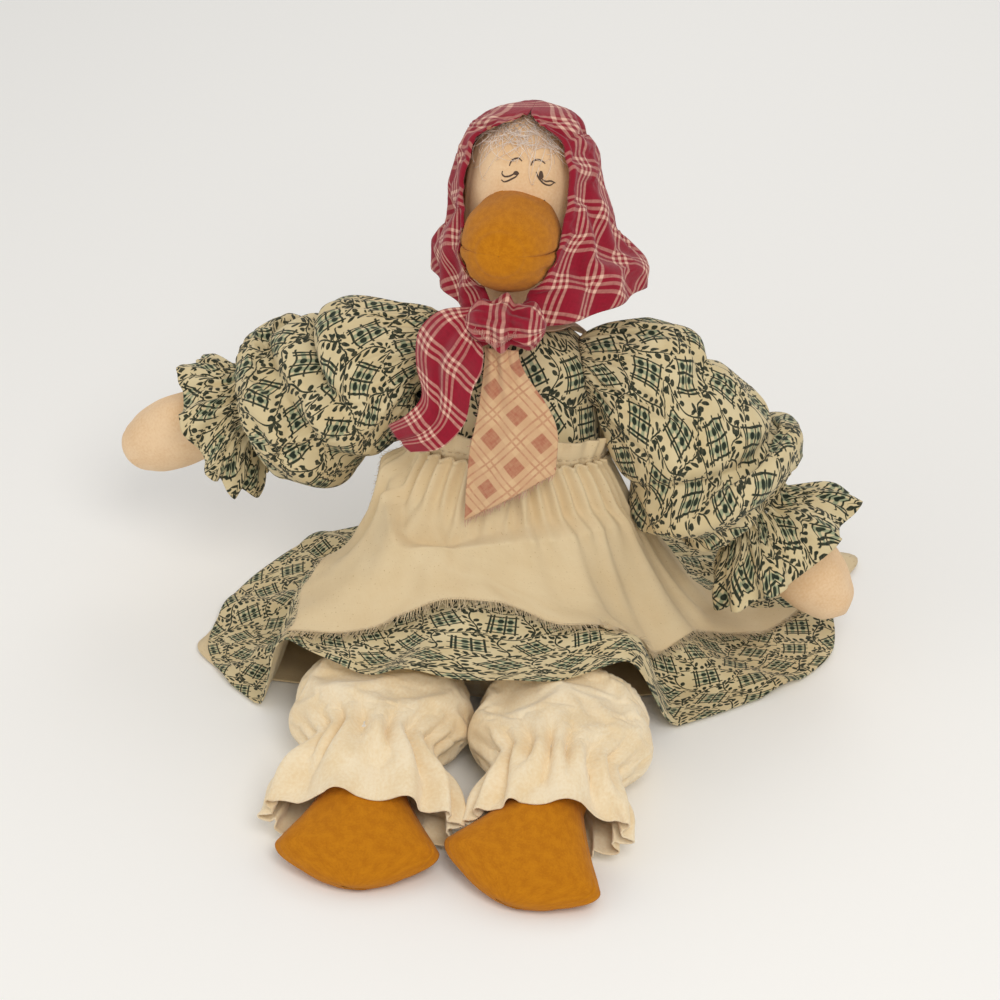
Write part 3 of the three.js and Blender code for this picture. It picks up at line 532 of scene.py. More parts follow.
def patch(px, py, half):  # a square of check: thin crossing lines, four round blots and faint bands
    line = lambda p, at: abs(p - at).under(0.5, 0.12)
    long, wide = abs(py).under(half + 0.6, 0.3), abs(px).under(half + 0.6, 0.3)
    lines = line(px, -6.3).most(line(px, -4.7)).most(line(px, 6.4)).most(line(px, 1.3)) * long
    lines = lines.most(line(py, 6.6).most(line(py, -0.1)).most(line(py, -6.6)) * wide)
    bx, by = abs(px - 1.3) - 2.4, abs(py + 0.1) - 3.3
    blots = (bx.run("POWER", 2) + by.run("POWER", 2)).under(2.5, 0.8)
    bands = abs(bx).under(1.15, 0.4).most(abs(by).under(1.15, 0.4))
    bands = bands * abs(px).most(abs(py)).under(half - 1, 0.4)
    return lines.most(blots), bands


def calicoFinish():
    look = calicoLook
    made, shader, u, v = newFinish("calico", 0.9, 0.1)
    row = (v / look["down"]).floor()
    shifted = u + (row / 2).fract() * look["across"]
    col = (shifted / look["across"]).floor()
    x = shifted - (col + 0.5) * look["across"]
    y = v - (row + 0.5) * look["down"]
    tilt = (dice2(col, row) - 0.5) * look["tilt"]
    px = x * tilt.cos() + y * tilt.sin()
    py = y * tilt.cos() - x * tilt.sin()
    check, bands = patch(px, py, look["square"])
    clear = abs(px).most(abs(py)).under(look["square"] + 1.3, 0.3).less()
    # Vines wander between the squares
    du = u + (cloudy(u, v, 34, 0) - 0.5) * 7
    dv = v + (cloudy(v, u, 31, 0) - 0.5) * 7
    level = (dv / look["down"] + 0.5).fract() * look["down"] - look["down"] / 2
    beside = (shifted / look["across"] + 0.5).fract() * look["across"] - look["across"] / 2
    vines, stems = [], []
    for s, t, wave, sway in ((du, level, 5.0, 2.6), (dv, beside, 4.2, 2.4)):
        t = t + (s / wave).sin() * sway
        vines.append(leafy(s, t, 3.7, look["leaf"]))
        stems.append(abs(t).under(0.43, 0.12))
    vine = vines[0].most(vines[1]).most(stems[0]).most(stems[1]) * clear
    worn = cloudy(u, v, 2.2) * 0.2 + 0.86
    ground = dyed(cloudy(u, v, 16), tone(look["ground"]), tone(look["shade"]))
    ground = dyed(bands * 0.8, ground, tone(look["faint"]))
    coloured(shader, dyed(vine.most(check) * worn, ground, tone(look["ink"])))
    raised(shader, weaveHeight(u, v, 0.5, 0.8), 0.12, 0.35)
    return made


# Homespun: red check of three cream bars each way, woven through, paler on its reverse
homespunLook = dict(red="a30f2e", deep="7d0a22", cream="efc6b0", every=16.0, bar=1.3, space=2.75,
                    pale="cfa77e", paleLight="e0bf95", paleRed="a55642")


def barsOf(p, look):  # three bars side by side in each repeat
    q = abs((p / look["every"]).fract() * look["every"] - look["every"] / 2)
    middle = q.under(look["bar"] / 2, 0.18)
    return middle.most(abs(q - look["space"]).under(look["bar"] / 2, 0.18)), q


def homespunFinish(reverse=False):
    look = homespunLook
    made, shader, u, v = newFinish("homespun_reverse" if reverse else "homespun", 0.93, 0.2)
    u = u + (cloudy(u, v, 30, 1) - 0.5) * 2.4
    v = v + (cloudy(v, u, 28, 1) - 0.5) * 2.4
    warp, warpAt = barsOf(u, look)
    weft, weftAt = barsOf(v, look)
    slub = cloudy(u * 0.25, v, 1.1) * 0.5 + cloudy(u, v * 0.25, 1.1) * 0.5
    if reverse:
        ground = dyed(cloudy(u, v, 9), tone(look["pale"]), tone(look["paleLight"]))
        thin = abs(warpAt - 1.4).under(0.42, 0.2).most(abs(weftAt - 1.4).under(0.42, 0.2)) * (slub * 0.9)
        square = warpAt.under(4.5, 0.3).less() * weftAt.under(4.5, 0.3).less() * (slub * 0.8 + 0.3)
        half = warpAt.under(4.5, 0.3).less().most(weftAt.under(4.5, 0.3).less()) * 0.14
        coloured(shader, dyed(thin.most(square).most(half), ground, tone(look["paleRed"])))
    else:
        ground = dyed(slub, tone(look["deep"]), tone(look["red"]))
        one = dyed(warp * (slub * 0.5 + 0.04), ground, tone(look["cream"]))
        one = dyed(weft * (slub * 0.6 + 0.08), one, tone(look["cream"]))
        coloured(shader, dyed(warp * weft * (slub * 0.35 + 0.6), one, tone(look["cream"])))
    raised(shader, weaveHeight(u, v, 0.55, 1.0), 0.16, 0.4)
    return made


# Muslin: unbleached plain cotton with slubs and small seed flecks
muslinLook = dict(light="e9d7b3", dark="d8be92", fleck="b89a68")


def muslinFinish():
    look = muslinLook
    made, shader, u, v = newFinish("muslin", 0.94, 0.12)
    slub = cloudy(u * 0.12, v, 0.8) * 0.5 + cloudy(u, v * 0.12, 0.8) * 0.5
    wash = cloudy(u, v, 22)
    ground = dyed(wash * 0.55 + slub * 0.45, tone(look["dark"]), tone(look["light"]))
    fleck = cloudy(u, v, 1.5, 1).under(0.235, 0.02)
    coloured(shader, dyed(fleck * 0.5, ground, tone(look["fleck"])))
    raised(shader, weaveHeight(u, v, 0.55, 1.2) + slub * 0.8, 0.16, 0.4)
    return made


# Plain cottons: brushed, so their colour clouds and their nap is soft
def cottonFinish(name, light, dark, size, nap, rough=0.95, sheen=0.3, weave=0.5):
    made, shader, u, v = newFinish(name, rough, sheen)
    clouds = cloudy(u, v, size) * 0.6 + cloudy(u, v, nap) * 0.4
    coloured(shader, dyed(clouds.under(0.5, 0.22).less(), tone(dark), tone(light)))
    raised(shader, weaveHeight(u, v, weave, 0.9) * 0.6 + cloudy(u, v, nap) * 0.9, 0.18, 0.4)
    return made


def threadFinish(name, light, dark):  # spun threads, with a slight twist of colour
    made, shader, u, v = newFinish(name, 0.8, 0.3)
    coloured(shader, dyed(cloudy(u, v, 2.5), tone(dark), tone(light)))
    return made


calico = calicoFinish()
homespun = homespunFinish()
homespunReverse = homespunFinish(reverse=True)
muslin = muslinFinish()
calicoReverse = cottonFinish("calico_reverse", "e9dcbd", "d3c49e", 14, 1.6, sheen=0.1)
skinCloth = cottonFinish("skin_cloth", "f2d3ac", "e6c093", 20, 1.2, sheen=0.15)
mustard = cottonFinish("mustard_cotton", "c67e0c", "b56e05", 3.5, 0.8, sheen=0.08)
flannel = cottonFinish("flannel", "f7e7c8", "ecd4aa", 18, 1.4, sheen=0.3)
collarCloth = cottonFinish("collar_cloth", "d9b698", "c49d80", 9, 1.3)
wool = threadFinish("wool", "fff8f0", "f0dacb")
muslinThread = threadFinish("muslin_thread", "ead8b6", "c9ad80")
homespunThread = threadFinish("homespun_thread", "e6bfa6", "b04a52")
ink = threadFinish("pen_ink", "5f4a3a", "43322a")
elasticRib = cottonFinish("elastic", "f2efe8", "dcd8ce", 3, 0.8)
print("finishes made")


# Floor, light and camera
view = dict(at=(170.2, -944.1, 770.3), toward=(-0.5, 24.0, 82.0), lens=92.7, sensor=36)
# Each light's place, size, power and colour
lights = dict(key=((0.4, -0.8, 1.1), 0.7, 6.3, (1, 0.965, 0.91)),
              fill=((-0.95, -0.45, 0.6), 0.8, 1.3, (1, 0.95, 0.88)),
              rim=((0.1, 0.95, 0.9), 0.8, 1.8, (1, 0.98, 0.95)))
skyLight = 0.58


def addLight(name, at, size, power, colour):
    lamp = bpy.data.lights.new(name, "AREA")
    lamp.shape = "DISK"
    lamp.size = size
    lamp.energy = power
    lamp.color = colour
    made = bpy.data.objects.new(name, lamp)
    made.location = at
    made.rotation_euler = (Vector((0, 0, 0.08)) - Vector(at)).to_track_quat("-Z", "Y").to_euler()
    scene.collection.objects.link(made)


def setStage():
    for name, row in lights.items():
        addLight(name, *row)
    sky = bpy.data.worlds.new("studio")
    sky.use_nodes = True
    back = sky.node_tree.nodes["Background"]
    back.inputs["Color"].default_value = (1, 0.985, 0.96, 1)
    back.inputs["Strength"].default_value = skyLight
    scene.world = sky
    scene.view_settings.view_transform = "Standard"
    side = np.linspace(-2500, 2500, 9)
    ground = np.stack(np.broadcast_arrays(side[None, :], side[:, None], -0.4), -1)
    floor = clothGrid("studio_floor", ground, ground[..., :2])
    pale = bpy.data.materials.new("pale_floor")
    pale.use_nodes = True
    shader = pale.node_tree.nodes["Principled BSDF"]
    shader.inputs["Base Color"].default_value = (0.97, 0.97, 0.96, 1)
    shader.inputs["Roughness"].default_value = 0.9
    shader.inputs["Specular IOR Level"].default_value = 0.1
    floor.data.materials.append(pale)
    lens = bpy.data.cameras.new("camera")
    lens.lens = view["lens"]
    lens.sensor_width = view["sensor"]
    camera = bpy.data.objects.new("camera", lens)
    camera.location = Vector(view["at"]) * mm
    aim = Vector(view["toward"]) - Vector(view["at"])
    camera.rotation_euler = aim.to_track_quat("-Z", "Y").to_euler()
    scene.collection.objects.link(camera)
    scene.camera = camera


setStage()


# Trunk, leaning back on its seat
trunk = dict(recline=math.radians(22), length=168.0, foot=3.0, waistUp=106.0, waistWide=42.5, waistDeep=35.3, cut=280)
leanSin, leanCos = math.sin(trunk["recline"]), math.cos(trunk["recline"])
# Rows up the trunk: height, half width and half depth
trunkTable = [[3.0, 28.5, 23.6], [12, 41.4, 34.2], [33.6, 46, 38], [67.2, 45.1, 37.2], [104.2, 41.8, 32.6],
              [134.4, 39, 29], [153, 39, 27], [162, 29.5, 23.2], [168, 18, 16.6]]
bodiceTable = [[106.2, 42.5, 35.3], [134.4, 39, 29], [153, 39, 27], [162, 29.5, 23.2], [167.7, 22, 21]]
skins = {}  # outer faces of finished pieces, for the ones that lie over them


def spine(x, y, up):  # a place on the leaning trunk
    x, y, up = np.broadcast_arrays(x, y, up)
    return np.stack([x, y * leanCos + up * leanSin, up * leanCos - y * leanSin], -1)


def aroundTrunk(up, wide, deep, turn):
    up, wide, deep, turn = np.broadcast_arrays(up, wide, deep, turn)
    lean = trunk["recline"] * smooth(up / trunk["length"], 0, 0.4)
    y = -deep * np.cos(turn)
    ring = np.stack([wide * np.sin(turn), y * np.cos(lean), -y * np.sin(lean)], -1)
    return spine(0, 0, up) + ring


def makeTorso():
    up = lengthways(trunk["foot"], trunk["length"], 56)
    wide, deep = follow(trunkTable, up)
    spots = aroundTrunk(up, wide, deep, turnsOf(64))
    piece = clothGrid("torso_cloth", spots, flatOf(sideways(0, trunk["cut"], 65), up), closed=True, caps="first last")
    stuffed(piece, skinCloth, 0.8, "torso", "skin_cloth", "torso_cover", "torso_stuffing")


bodiceLook = dict(low=106.4, high=167.2, out=2.1, wrinkle=0.5, gather=0.7, thick=0.6, cut=295)


def makeBodice():
    look = bodiceLook
    up = lengthways(look["low"], look["high"], 70)
    wide, deep = follow(bodiceTable, up)
    turn = turnsOf(200)
    # Gathers over the apron band and soft pulls toward the armholes
    gather = look["gather"] * hump(up, trunk["waistUp"], 14) * np.cos(turn * 34)
    pulls = look["wrinkle"] * rumple(turn * 47 * 0.7, up * 1.2, 24, 3)
    out = look["out"] + gather + pulls
    spots = aroundTrunk(up, wide + out, deep + out, turn)
    flat = flatOf(sideways(0, look["cut"], 201), up)
    piece = clothGrid("bodice_cloth", spots, flat, closed=True)
    skins["bodice"] = surface(piece)
    layered(piece, look["thick"], calico, calicoReverse)
    placed(piece, "torso", "calico", "bodice")


collarLook = dict(wave=0.5, thick=0.7, cut=190, cutWide=17)
# Rows across the collar: share of its width, height, half width and half depth
collarTable = [[0, 169.9, 22.7, 22.0], [0.5, 167.2, 29.9, 27.8], [1, 161.8, 37, 33.2]]


def makeCollar():
    look = collarLook
    turn, share = turnsOf(120), lengthways(0, 1, 12)
    # It narrows at the front of the left side
    far = share * mix(1, 0.3, smooth(np.sin(turn), -0.35, 0.3) * smooth(np.cos(turn), -0.6, 0.2))
    up, wide, deep = follow(collarTable, far)
    wave = look["wave"] * np.sin(turn * 5 + 1) * share
    spots = aroundTrunk(up + wave, wide, deep, turn)
    flat = flatOf(sideways(0, look["cut"], 121), share * look["cutWide"])
    piece = clothGrid("collar_cloth", spots, flat, closed=True)
    layered(piece, look["thick"], collarCloth)
    placed(piece, "torso", "muslin", "collar")


# Arms: a stuffed cloth tube with a rounded mitten hand, seamed above and below
arm = dict(leftWrist=92.0, rightWrist=84.0, shoulderX=53.16, shoulderUp=153.0, leftDroop=46.0, rightDroop=29.0,
           leftForward=10.0, rightForward=0.0, seam=0.55, cut=92)
# Rows along an arm: distance from the shoulder and radius
armTable = [[-14, 2.5], [-10.9, 8.7], [0, 14], [48, 14.3], [92, 14], [118.4, 16.7], [132.8, 17],
            [147.2, 13.6], [156.8, 7.1], [160, 1.6]]


def armAxes(side):
    name = sideName[side]
    droop, forward = (math.radians(arm[name + part]) for part in ("Droop", "Forward"))
    run = np.array([side * math.cos(droop) * math.cos(forward),
                    -math.cos(droop) * math.sin(forward), -math.sin(droop)])
    across = np.array([math.sin(forward), side * math.cos(forward), 0])
    return spine(side * arm["shoulderX"], 0, arm["shoulderUp"]), run, across, np.cross(across, run)


def makeArm(side):
    name = sideName[side]
    start, run, across, over = armAxes(side)
    along = np.r_[lengthways(-14, 110, 40), lengthways(112, 160, 44)]
    radius = np.maximum(follow(armTable, along)[0], 0.6)
    turn = turnsOf(56)
    seam = arm["seam"] * (hump(np.sin(turn), 1, 0.012) + hump(np.sin(turn), -1, 0.012))
    pucker = 1 + 0.25 * np.cos(along * 1.9)
    soft = 0.25 * rumple(turn * 15, along, 22, 5 + side)
    out = radius - seam * pucker * smooth(along, 60, 100) + soft
    flatten = 1 + 0.05 * smooth(along, 100, 130)
    spots = tube(start + along[..., None] * run, across, over, out / flatten, out * flatten, turn)
    flat = flatOf(sideways(0, arm["cut"], 57), along)
    piece = clothGrid(name + "_arm_cloth", spots, flat, closed=True, caps="first last")
    return stuffed(piece, skinCloth, 0.85, name + "_arm", "skin_cloth", name + "_arm_cover", name + "_arm_stuffing")


makeTorso()
makeBodice()
makeCollar()
arms = {sideName[side]: makeArm(side) for side in (1, -1)}
print("trunk, bodice and arms made")


# Head: a tall stuffed tube, with a bill of two seamed panels
head = dict(base=168.3, height=100.0, radius=27.0, seam=52.0, seamDeep=0.5, cut=170)
# Rows up the head: height and radius
headTable = [[0, 18], [12, 18.9], [30, 25.4], [50, 27], [70, 26.2], [85, 21.1], [95, 12.2], [100, 2.7]]
bill = dict(width=22.0, height=23.0, middle=42.0, mouth=38.5, dip=0.056, roll=1.1, crease=1.4,
            start=22.0, thick=0.6)
# Rows along the bill: reach from the middle of the head, share of its width and of its height
billTable = [[12, 0.97, 1], [24.3, 1, 0.98], [38.3, 0.98, 0.92], [51.5, 0.82, 0.74], [60.3, 0.55, 0.48],
             [63.6, 0.34, 0.3], [65.4, 0.01, 0.01]]


def headSpot(x, y, z):
    return spine(x, y, head["base"] + z)


def headRadius(z):
    return follow(headTable, np.clip(z, 0, head["height"]))[0]


def makeHead():
    z = np.r_[lengthways(0, 90, 70), lengthways(91, head["height"], 12)]
    turn = turnsOf(96)
    seam = sum(hump(np.angle(np.exp(1j * (turn - a))), 0, 0.028) for a in
               (math.radians(head["seam"]), -math.radians(head["seam"] + 8), math.pi))
    soft = 0.3 * rumple(turn * head["radius"], z, 30, 21)
    out = headRadius(z) - head["seamDeep"] * seam * (1 + 0.3 * np.cos(z * 1.7)) + soft
    spots = headSpot(out * np.sin(turn), -out * np.cos(turn), z)
    piece = clothGrid("head_cloth", spots, flatOf(sideways(0, head["cut"], 97), z), closed=True, caps="first last")
    skins["head"] = surface(piece)
    stuffed(piece, skinCloth, 0.85, "head", "skin_cloth", "head_cover", "head_stuffing")


def makeBillPanel(name, upper):
    reach = mix(bill["start"], billTable[-1][0], 1 - (1 - lengthways(0, 1, 70)) ** 1.8)
    wide, tall = follow(billTable, reach)
    wide, tall = wide * bill["width"], tall * bill["height"]
    middle = bill["middle"] - reach * bill["dip"]
    lip = np.arcsin(np.clip((bill["mouth"] - middle) / np.maximum(tall, 4), -0.95, 0.95)) * smooth(tall, 0, 6)
    k = sideways(0, 1, 90)
    angle = mix(lip, np.pi - lip, k) if upper else mix(np.pi - lip, 2 * np.pi + lip, k)
    edge = np.minimum(k, 1 - k)
    # The panels roll in to the mouth seam, and the lower one creases below it
    puff = -bill["roll"] * (1 - smooth(edge, 0, 0.03))
    if not upper:
        fold = hump(edge, 0.13, 0.03) * (0.4 + 0.6 * np.sin(reach * 0.32))
        puff = puff - bill["crease"] * (fold + 0.6 * hump(edge, 0.24, 0.035) * np.sin(reach * 0.21 + 1))
    puff = puff + 0.35 * rumple(k * 70, reach, 17, 31 + upper)
    x = np.maximum(wide + puff * smooth(wide, 9, 20), 0.05) * np.cos(angle)
    z = middle + np.maximum(tall + puff * smooth(tall, 9, 20), 0.05) * np.sin(angle)
    face = np.sqrt(np.maximum(headRadius(z) ** 2 - x**2, 1)) - 0.35
    spots = headSpot(x, -np.maximum(reach, face), z)
    far = lengths(spots, 0)[-1].mean() - lengths(spots, 0).mean(1)[:, None]
    flat = flatOf(far * np.cos(angle), far * np.sin(angle))
    piece = clothGrid(name + "_cloth", spots, flat)
    skins[name] = surface(piece)
    layered(piece, bill["thick"], mustard)
    nodes = [name, "bill_stuffing"] if upper else [name]
    placed(piece, "head", "mustard_cotton", *nodes)


# Pen strokes of the closed eyes and brows, by their places in a picture 1000 wide from the camera
eyes = dict(weight=0.4, lift=0.12, steps=16, strokes=[
    [(502.7, 171), (502, 173.6), (504.3, 176.3), (508.7, 176.3), (513.2, 174.3), (517.4, 171.8)],
    [(501.5, 179.7), (503.7, 181.7), (507.4, 181), (511.6, 179), (515.8, 176.8), (518.4, 173.6)],
    [(509.5, 165.9), (511.1, 161.7), (514.9, 158.7), (519.1, 158.4), (522, 161.2)],
    [(536.3, 171.8), (537.9, 176.8), (541, 181), (545.2, 184.4), (550.2, 185.2), (554.1, 182.7)],
    [(541.8, 179.4), (546, 181.4), (550.5, 181), (555.3, 183)],
    [(530.9, 165.6), (532.6, 161.7), (536.8, 159.7), (541.8, 160.9), (545.2, 163.7)],
    [(543.8, 199.9), (544.8, 201.6)],
], lids=[(516.1, 173.1, 2.9, 2.1), (541, 175.2, 2.4, 4.4)])


def sightline(px, py):  # the picture's point on the head
    eye = Vector(view["at"])
    ahead = (Vector(view["toward"]) - eye).normalized()
    right = ahead.cross(Vector((0, 0, 1))).normalized()
    up = right.cross(ahead)
    focal = view["lens"] / view["sensor"] * 1000
    way = (ahead * focal + right * (px - 500) - up * (py - 500)).normalized()
    spot, normal, _, _ = skins["head"].ray_cast(eye, way)
    return np.array(spot), np.array(normal)


def makeEyes():
    points, faces, steps = [], [], eyes["steps"]
    for line in eyes["strokes"]:
        line, _ = route([(x, y, 0) for x, y in line], steps)
        found = [sightline(x, y) for x, y, _ in line]
        spots = np.array([s + n * eyes["lift"] for s, n in found])
        out = np.array([n for _, n in found])
        side = np.cross(np.gradient(spots, axis=0), out)
        side /= np.linalg.norm(side, axis=1, keepdims=True)
        taper = np.sin(np.linspace(0.25, math.pi - 0.25, steps))
        first = len(points)
        for k in range(steps):
            half = eyes["weight"] * (0.4 + 0.6 * taper[k])
            points += [spots[k] - side[k] * half, spots[k] + out[k] * 0.1, spots[k] + side[k] * half]
        for k in range(steps - 1):
            a = first + 3 * k
            faces += [(a, a + 1, a + 4, a + 3), (a + 1, a + 2, a + 5, a + 4)]
    for x, y, wide, tall in eyes["lids"]:
        ring = [(x + wide * math.cos(t) * (1 + 0.12 * math.sin(3 * t)), y + tall * math.sin(t))
                for t in np.linspace(0, 2 * math.pi, 20, endpoint=False)]
        first = len(points)
        for spot in [(x, y), *ring]:
            s, n = sightline(*spot)
            points.append(s + n * (0.3 if spot == (x, y) else eyes["lift"]))
        faces += [(first, first + 1 + k, first + 1 + (k + 1) % 20) for k in range(20)]
    piece = newPiece("inked_eyes", points, faces)
    piece.data.shade_flat()
    piece.data.materials.append(ink)
    placed(piece, "head", "skin_cloth")


# Hair: a thin felted tuft and loose curling strands under the edge of the kerchief
hair = dict(fuzz=110, strands=60, thick=0.15, steps=12)


def makeHair():
    dice = np.random.default_rng(5)
    lines = []
    for i in range(hair["fuzz"] + hair["strands"]):
        loose = i >= hair["fuzz"]
        turn, z = dice.uniform(-0.8, 0.8), dice.uniform(83, 95)
        heading, curl = dice.uniform(0, 2 * np.pi), dice.normal(0, 0.16)
        length = dice.uniform(14, 30) if loose else dice.uniform(6, 14)
        lift = dice.uniform(1.0, 4.5) if loose else dice.uniform(0.3, 1.6)
        if loose:
            z, heading = dice.uniform(84, 95), dice.choice([-0.4, 3.5, 4.0, 5.4]) + dice.normal(0, 0.4)
        line, steps = [], hair["steps"]
        for k in range(steps):
            radius = float(headRadius(z)) + lift * math.sin(math.pi * min(k / steps + 0.1, 1)) + 0.3
            line.append(headSpot(radius * math.sin(turn), -radius * math.cos(turn), z))
            heading += curl
            turn += math.cos(heading) * length / steps / max(radius, 8)
            z = min(max(z + math.sin(heading) * length / steps, 66), 96)
        lines.append(line)
    piece = threads("hair", lines, hair["thick"], wool)
    placed(piece, "head", "wool", "hair_tuft")


makeHead()
makeBillPanel("bill_upper", True)
makeBillPanel("bill_lower", False)
makeEyes()
makeHair()
print("head made")


# Legs, feet and pantaloons
leg = dict(hipX=41.0, hipY=-34.93, hipZ=21.6, yaw=4.0, length=78.0, slope=20.0, leftTurn=17.0, rightTurn=0.0,
           cut=112)
# Rows along a leg: distance from the hip and radius
legTable = [[-18, 2.5], [-13.5, 11.9], [0, 18], [33, 18.5], [56, 16.6], [62, 14], [65, 9], [66, 2.2]]
foot = dict(length=52.0, halfWide=34.0, halfThick=12.0, inset=0.35, floorGap=0.3, thick=0.5, cut=72)
# Rows along a foot: share of its length, of its width and of its thickness
footTable = [[-0.22, 0.08, 0.22], [-0.15, 0.3, 0.6], [0.05, 0.44, 1.05], [0.4, 0.75, 1], [0.58, 0.94, 0.88],
             [0.65, 1, 0.82], [0.72, 0.96, 0.74], [0.86, 0.66, 0.58], [0.96, 0.33, 0.36], [0.99, 0.15, 0.2],
             [1, 0.01, 0.03]]


def legAxes(side):
    yaw = math.radians(leg["yaw"])
    run = np.array([math.sin(yaw), -math.cos(yaw), 0])
    across = np.array([math.cos(yaw), math.sin(yaw), 0])
    return np.array([side * leg["hipX"], leg["hipY"], leg["hipZ"]]), run, across


def makeLeg(side):
    name = sideName[side]
    start, run, across = legAxes(side)
    along = lengthways(legTable[0][0], legTable[-1][0], 50)
    radius = np.maximum(follow(legTable, along)[0], 1.5)
    spots = tube(start + along[..., None] * run, across, plainUp, radius, radius, turnsOf(48))
    flat = flatOf(sideways(0, leg["cut"], 49), along)
    piece = clothGrid(name + "_leg_cloth", spots[::-1], flat[::-1], closed=True, caps="first last")
    return stuffed(piece, skinCloth, 0.8, name + "_leg", "skin_cloth", name + "_leg_cover", name + "_leg_stuffing")


def makeFootHalf(side, upper):
    name = sideName[side]
    start, run, across = legAxes(side)
    slope, turn = math.radians(leg["slope"]), -side * math.radians(leg[name + "Turn"])
    ahead = run * math.cos(slope) - plainUp * math.sin(slope)
    over = plainUp * math.cos(slope) + run * math.sin(slope)
    wideWay = across * math.cos(turn) - ahead * math.sin(turn)
    longWay = ahead * math.cos(turn) + across * math.sin(turn)
    share = np.r_[lengthways(-0.22, 0.6, 44), lengthways(0.62, 1, 40)]
    wide, thick = follow(footTable, share)
    wide = np.maximum(wide, 0.004) * foot["halfWide"]
    thick = np.maximum(thick, 0.01) * foot["halfThick"]
    k, down = sideways(0, 1, 60), share * foot["length"]
    angle = np.pi * (1 - k) if upper else np.pi * (1 + k)
    # The two halves pinch to a seam round the edge, and puckers run in from it
    edge = np.minimum(k, 1 - k)
    flange = 1 + 0.04 * hump(edge, 0, 0.03)
    pucker = 0.5 * hump(edge, 0.08, 0.05) * rumple(down, k * 90, 7, 41 + upper)
    soft = 0.5 * rumple(down, k * 60, 24, 43 + side)
    rise = np.abs(np.sin(angle)) ** 0.85 * (thick + soft * smooth(thick, 2, 8)) + pucker
    x = wide * np.cos(angle) * flange
    y = (np.where(edge < 0.012, 0, rise) + foot["inset"]) * (1 if upper else -1)
    spots = start + leg["length"] * run + x[..., None] * wideWay + y[..., None] * over
    spots = spots + down[..., None] * longWay
    spots[..., 2] = np.maximum(spots[..., 2], foot["floorGap"])
    flat = flatOf(k * foot["cut"], down)
    label = f"{name}_foot_{'top' if upper else 'sole'}"
    piece = clothGrid(label + "_cloth", spots, flat)
    skins[label] = surface(piece)
    layered(piece, foot["thick"], mustard)
    nodes = [label] + ([name + "_foot_stuffing"] if upper else [])
    placed(piece, name + "_foot", "mustard_cotton", *nodes)


pant = dict(halfWide=38.0, halfTall=22.5, gatherAt=62.0, leftFrill=33.0, rightFrill=41.0, leftEnd=90.0,
            rightEnd=97.0, start=8, bound=26, pleats=17, sink=6.0, floorGap=0.9, restGap=0.8, thick=0.7, cut=268)


def makePant(side):
    look = pant
    name = sideName[side]
    start, run, across = legAxes(side)
    wide, tall, end, last = (look[key] for key in ("halfWide", "halfTall", name + "Frill", name + "End"))
    first, bound = look["start"], look["bound"]
    s = np.r_[lengthways(first, 48, 46), lengthways(49, 74, 46), lengthways(75.5, last, 26)]
    table = [[first, 0.9 * wide, tall - 1], [24, wide, tall], [42, 0.99 * wide, tall], [52, 0.84 * wide, tall - 1],
             [60, bound, 20], [64, bound, 20], [75, mix(bound, end, 0.6), tall - 2.5], [last, end, tall - 3.5]]
    a, b = follow(table, s)
    turn = turnsOf(220)
    wander = turn * look["pleats"] + 0.8 * np.sin(3 * turn + side) + 0.5 * np.sin(7 * turn + 2 * side)
    near = hump(s, look["gatherAt"], 11)
    pleat = 2.4 * near * np.cos(wander + 0.03 * (s - 60) * np.sin(5 * turn))
    deep = 3.4 * smooth(s, 62, 82) * np.cos(10 * turn + 1.6 * np.sin(2 * turn + side))
    fine = 0.8 * smooth(s, 60, 66) * (1 - smooth(s, 74, 86)) * np.cos(wander)
    soft = 0.9 * rumple(turn * 36, s, 26, 51 + side) * (1 - 0.7 * near)
    out = pleat + deep + fine + soft
    spots = tube(start + s[..., None] * run, across, plainUp, a + out, b + out, turn)
    spots[..., 2] = np.maximum(spots[..., 2], look["floorGap"] + 0.3 * np.cos(turn * 9))
    # The frill sinks over the foot, and rests on the floor below
    spots[..., 2] -= look["sink"] * smooth(s, 66, last) * smooth(np.sin(turn), -0.2, 0.8)
    spots[..., 2] = np.maximum(spots[..., 2], look["floorGap"])
    flat = flatOf(sideways(0, look["cut"], 221), s)
    piece = clothGrid(name + "_pantaloon_cloth", spots[::-1], flat[::-1], closed=True)
    hold = near * 0.6 + 0.4 * hump(s, first, 4) + 0.5 * hump(spots[..., 2], 0, 2) + 0.08
    settle(piece, hold[::-1], spare=0.07, pull=0.1, bend=0.35, cap=5)
    keepClear(piece, [surface(legs[name]), skins[name + "_foot_top"]], 1.0)
    found = spotsOf(piece)
    found[:, 2] = np.maximum(found[:, 2], look["restGap"])
    moved(piece, found)
    skins[name + "_pant"] = surface(piece)
    layered(piece, look["thick"], flannel)
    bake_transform(piece)
    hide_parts(name + "_pantaloon_leg")


seat = dict(low=2.2, high=67, out=1.2, gather=0.25, thick=0.6, cut=280)


def makeSeat():
    up = lengthways(seat["low"], seat["high"], 40)
    wide, deep = follow(trunkTable, np.maximum(up, trunk["foot"]))
    turn = turnsOf(120)
    out = seat["out"] + seat["gather"] * np.cos(turn * 26) * hump(up, seat["high"], 14)
    spots = aroundTrunk(up, wide + out, deep + out, turn)
    spots[..., 2] = np.maximum(spots[..., 2], pant["floorGap"])
    flat = flatOf(sideways(0, seat["cut"], 121), up)
    piece = clothGrid("seat_cloth", spots, flat, closed=True, caps="first")
    skins["seat"] = surface(piece)
    layered(piece, seat["thick"], flannel)
    placed(piece, "torso", "flannel", "pantaloon_seat")


elastic = dict(width=5.0, thick=1.0, ribs=5, wrist=14.86, cuff=17.3, cuffAt=57.5, waistOut=0.6, waistAt=67.5)


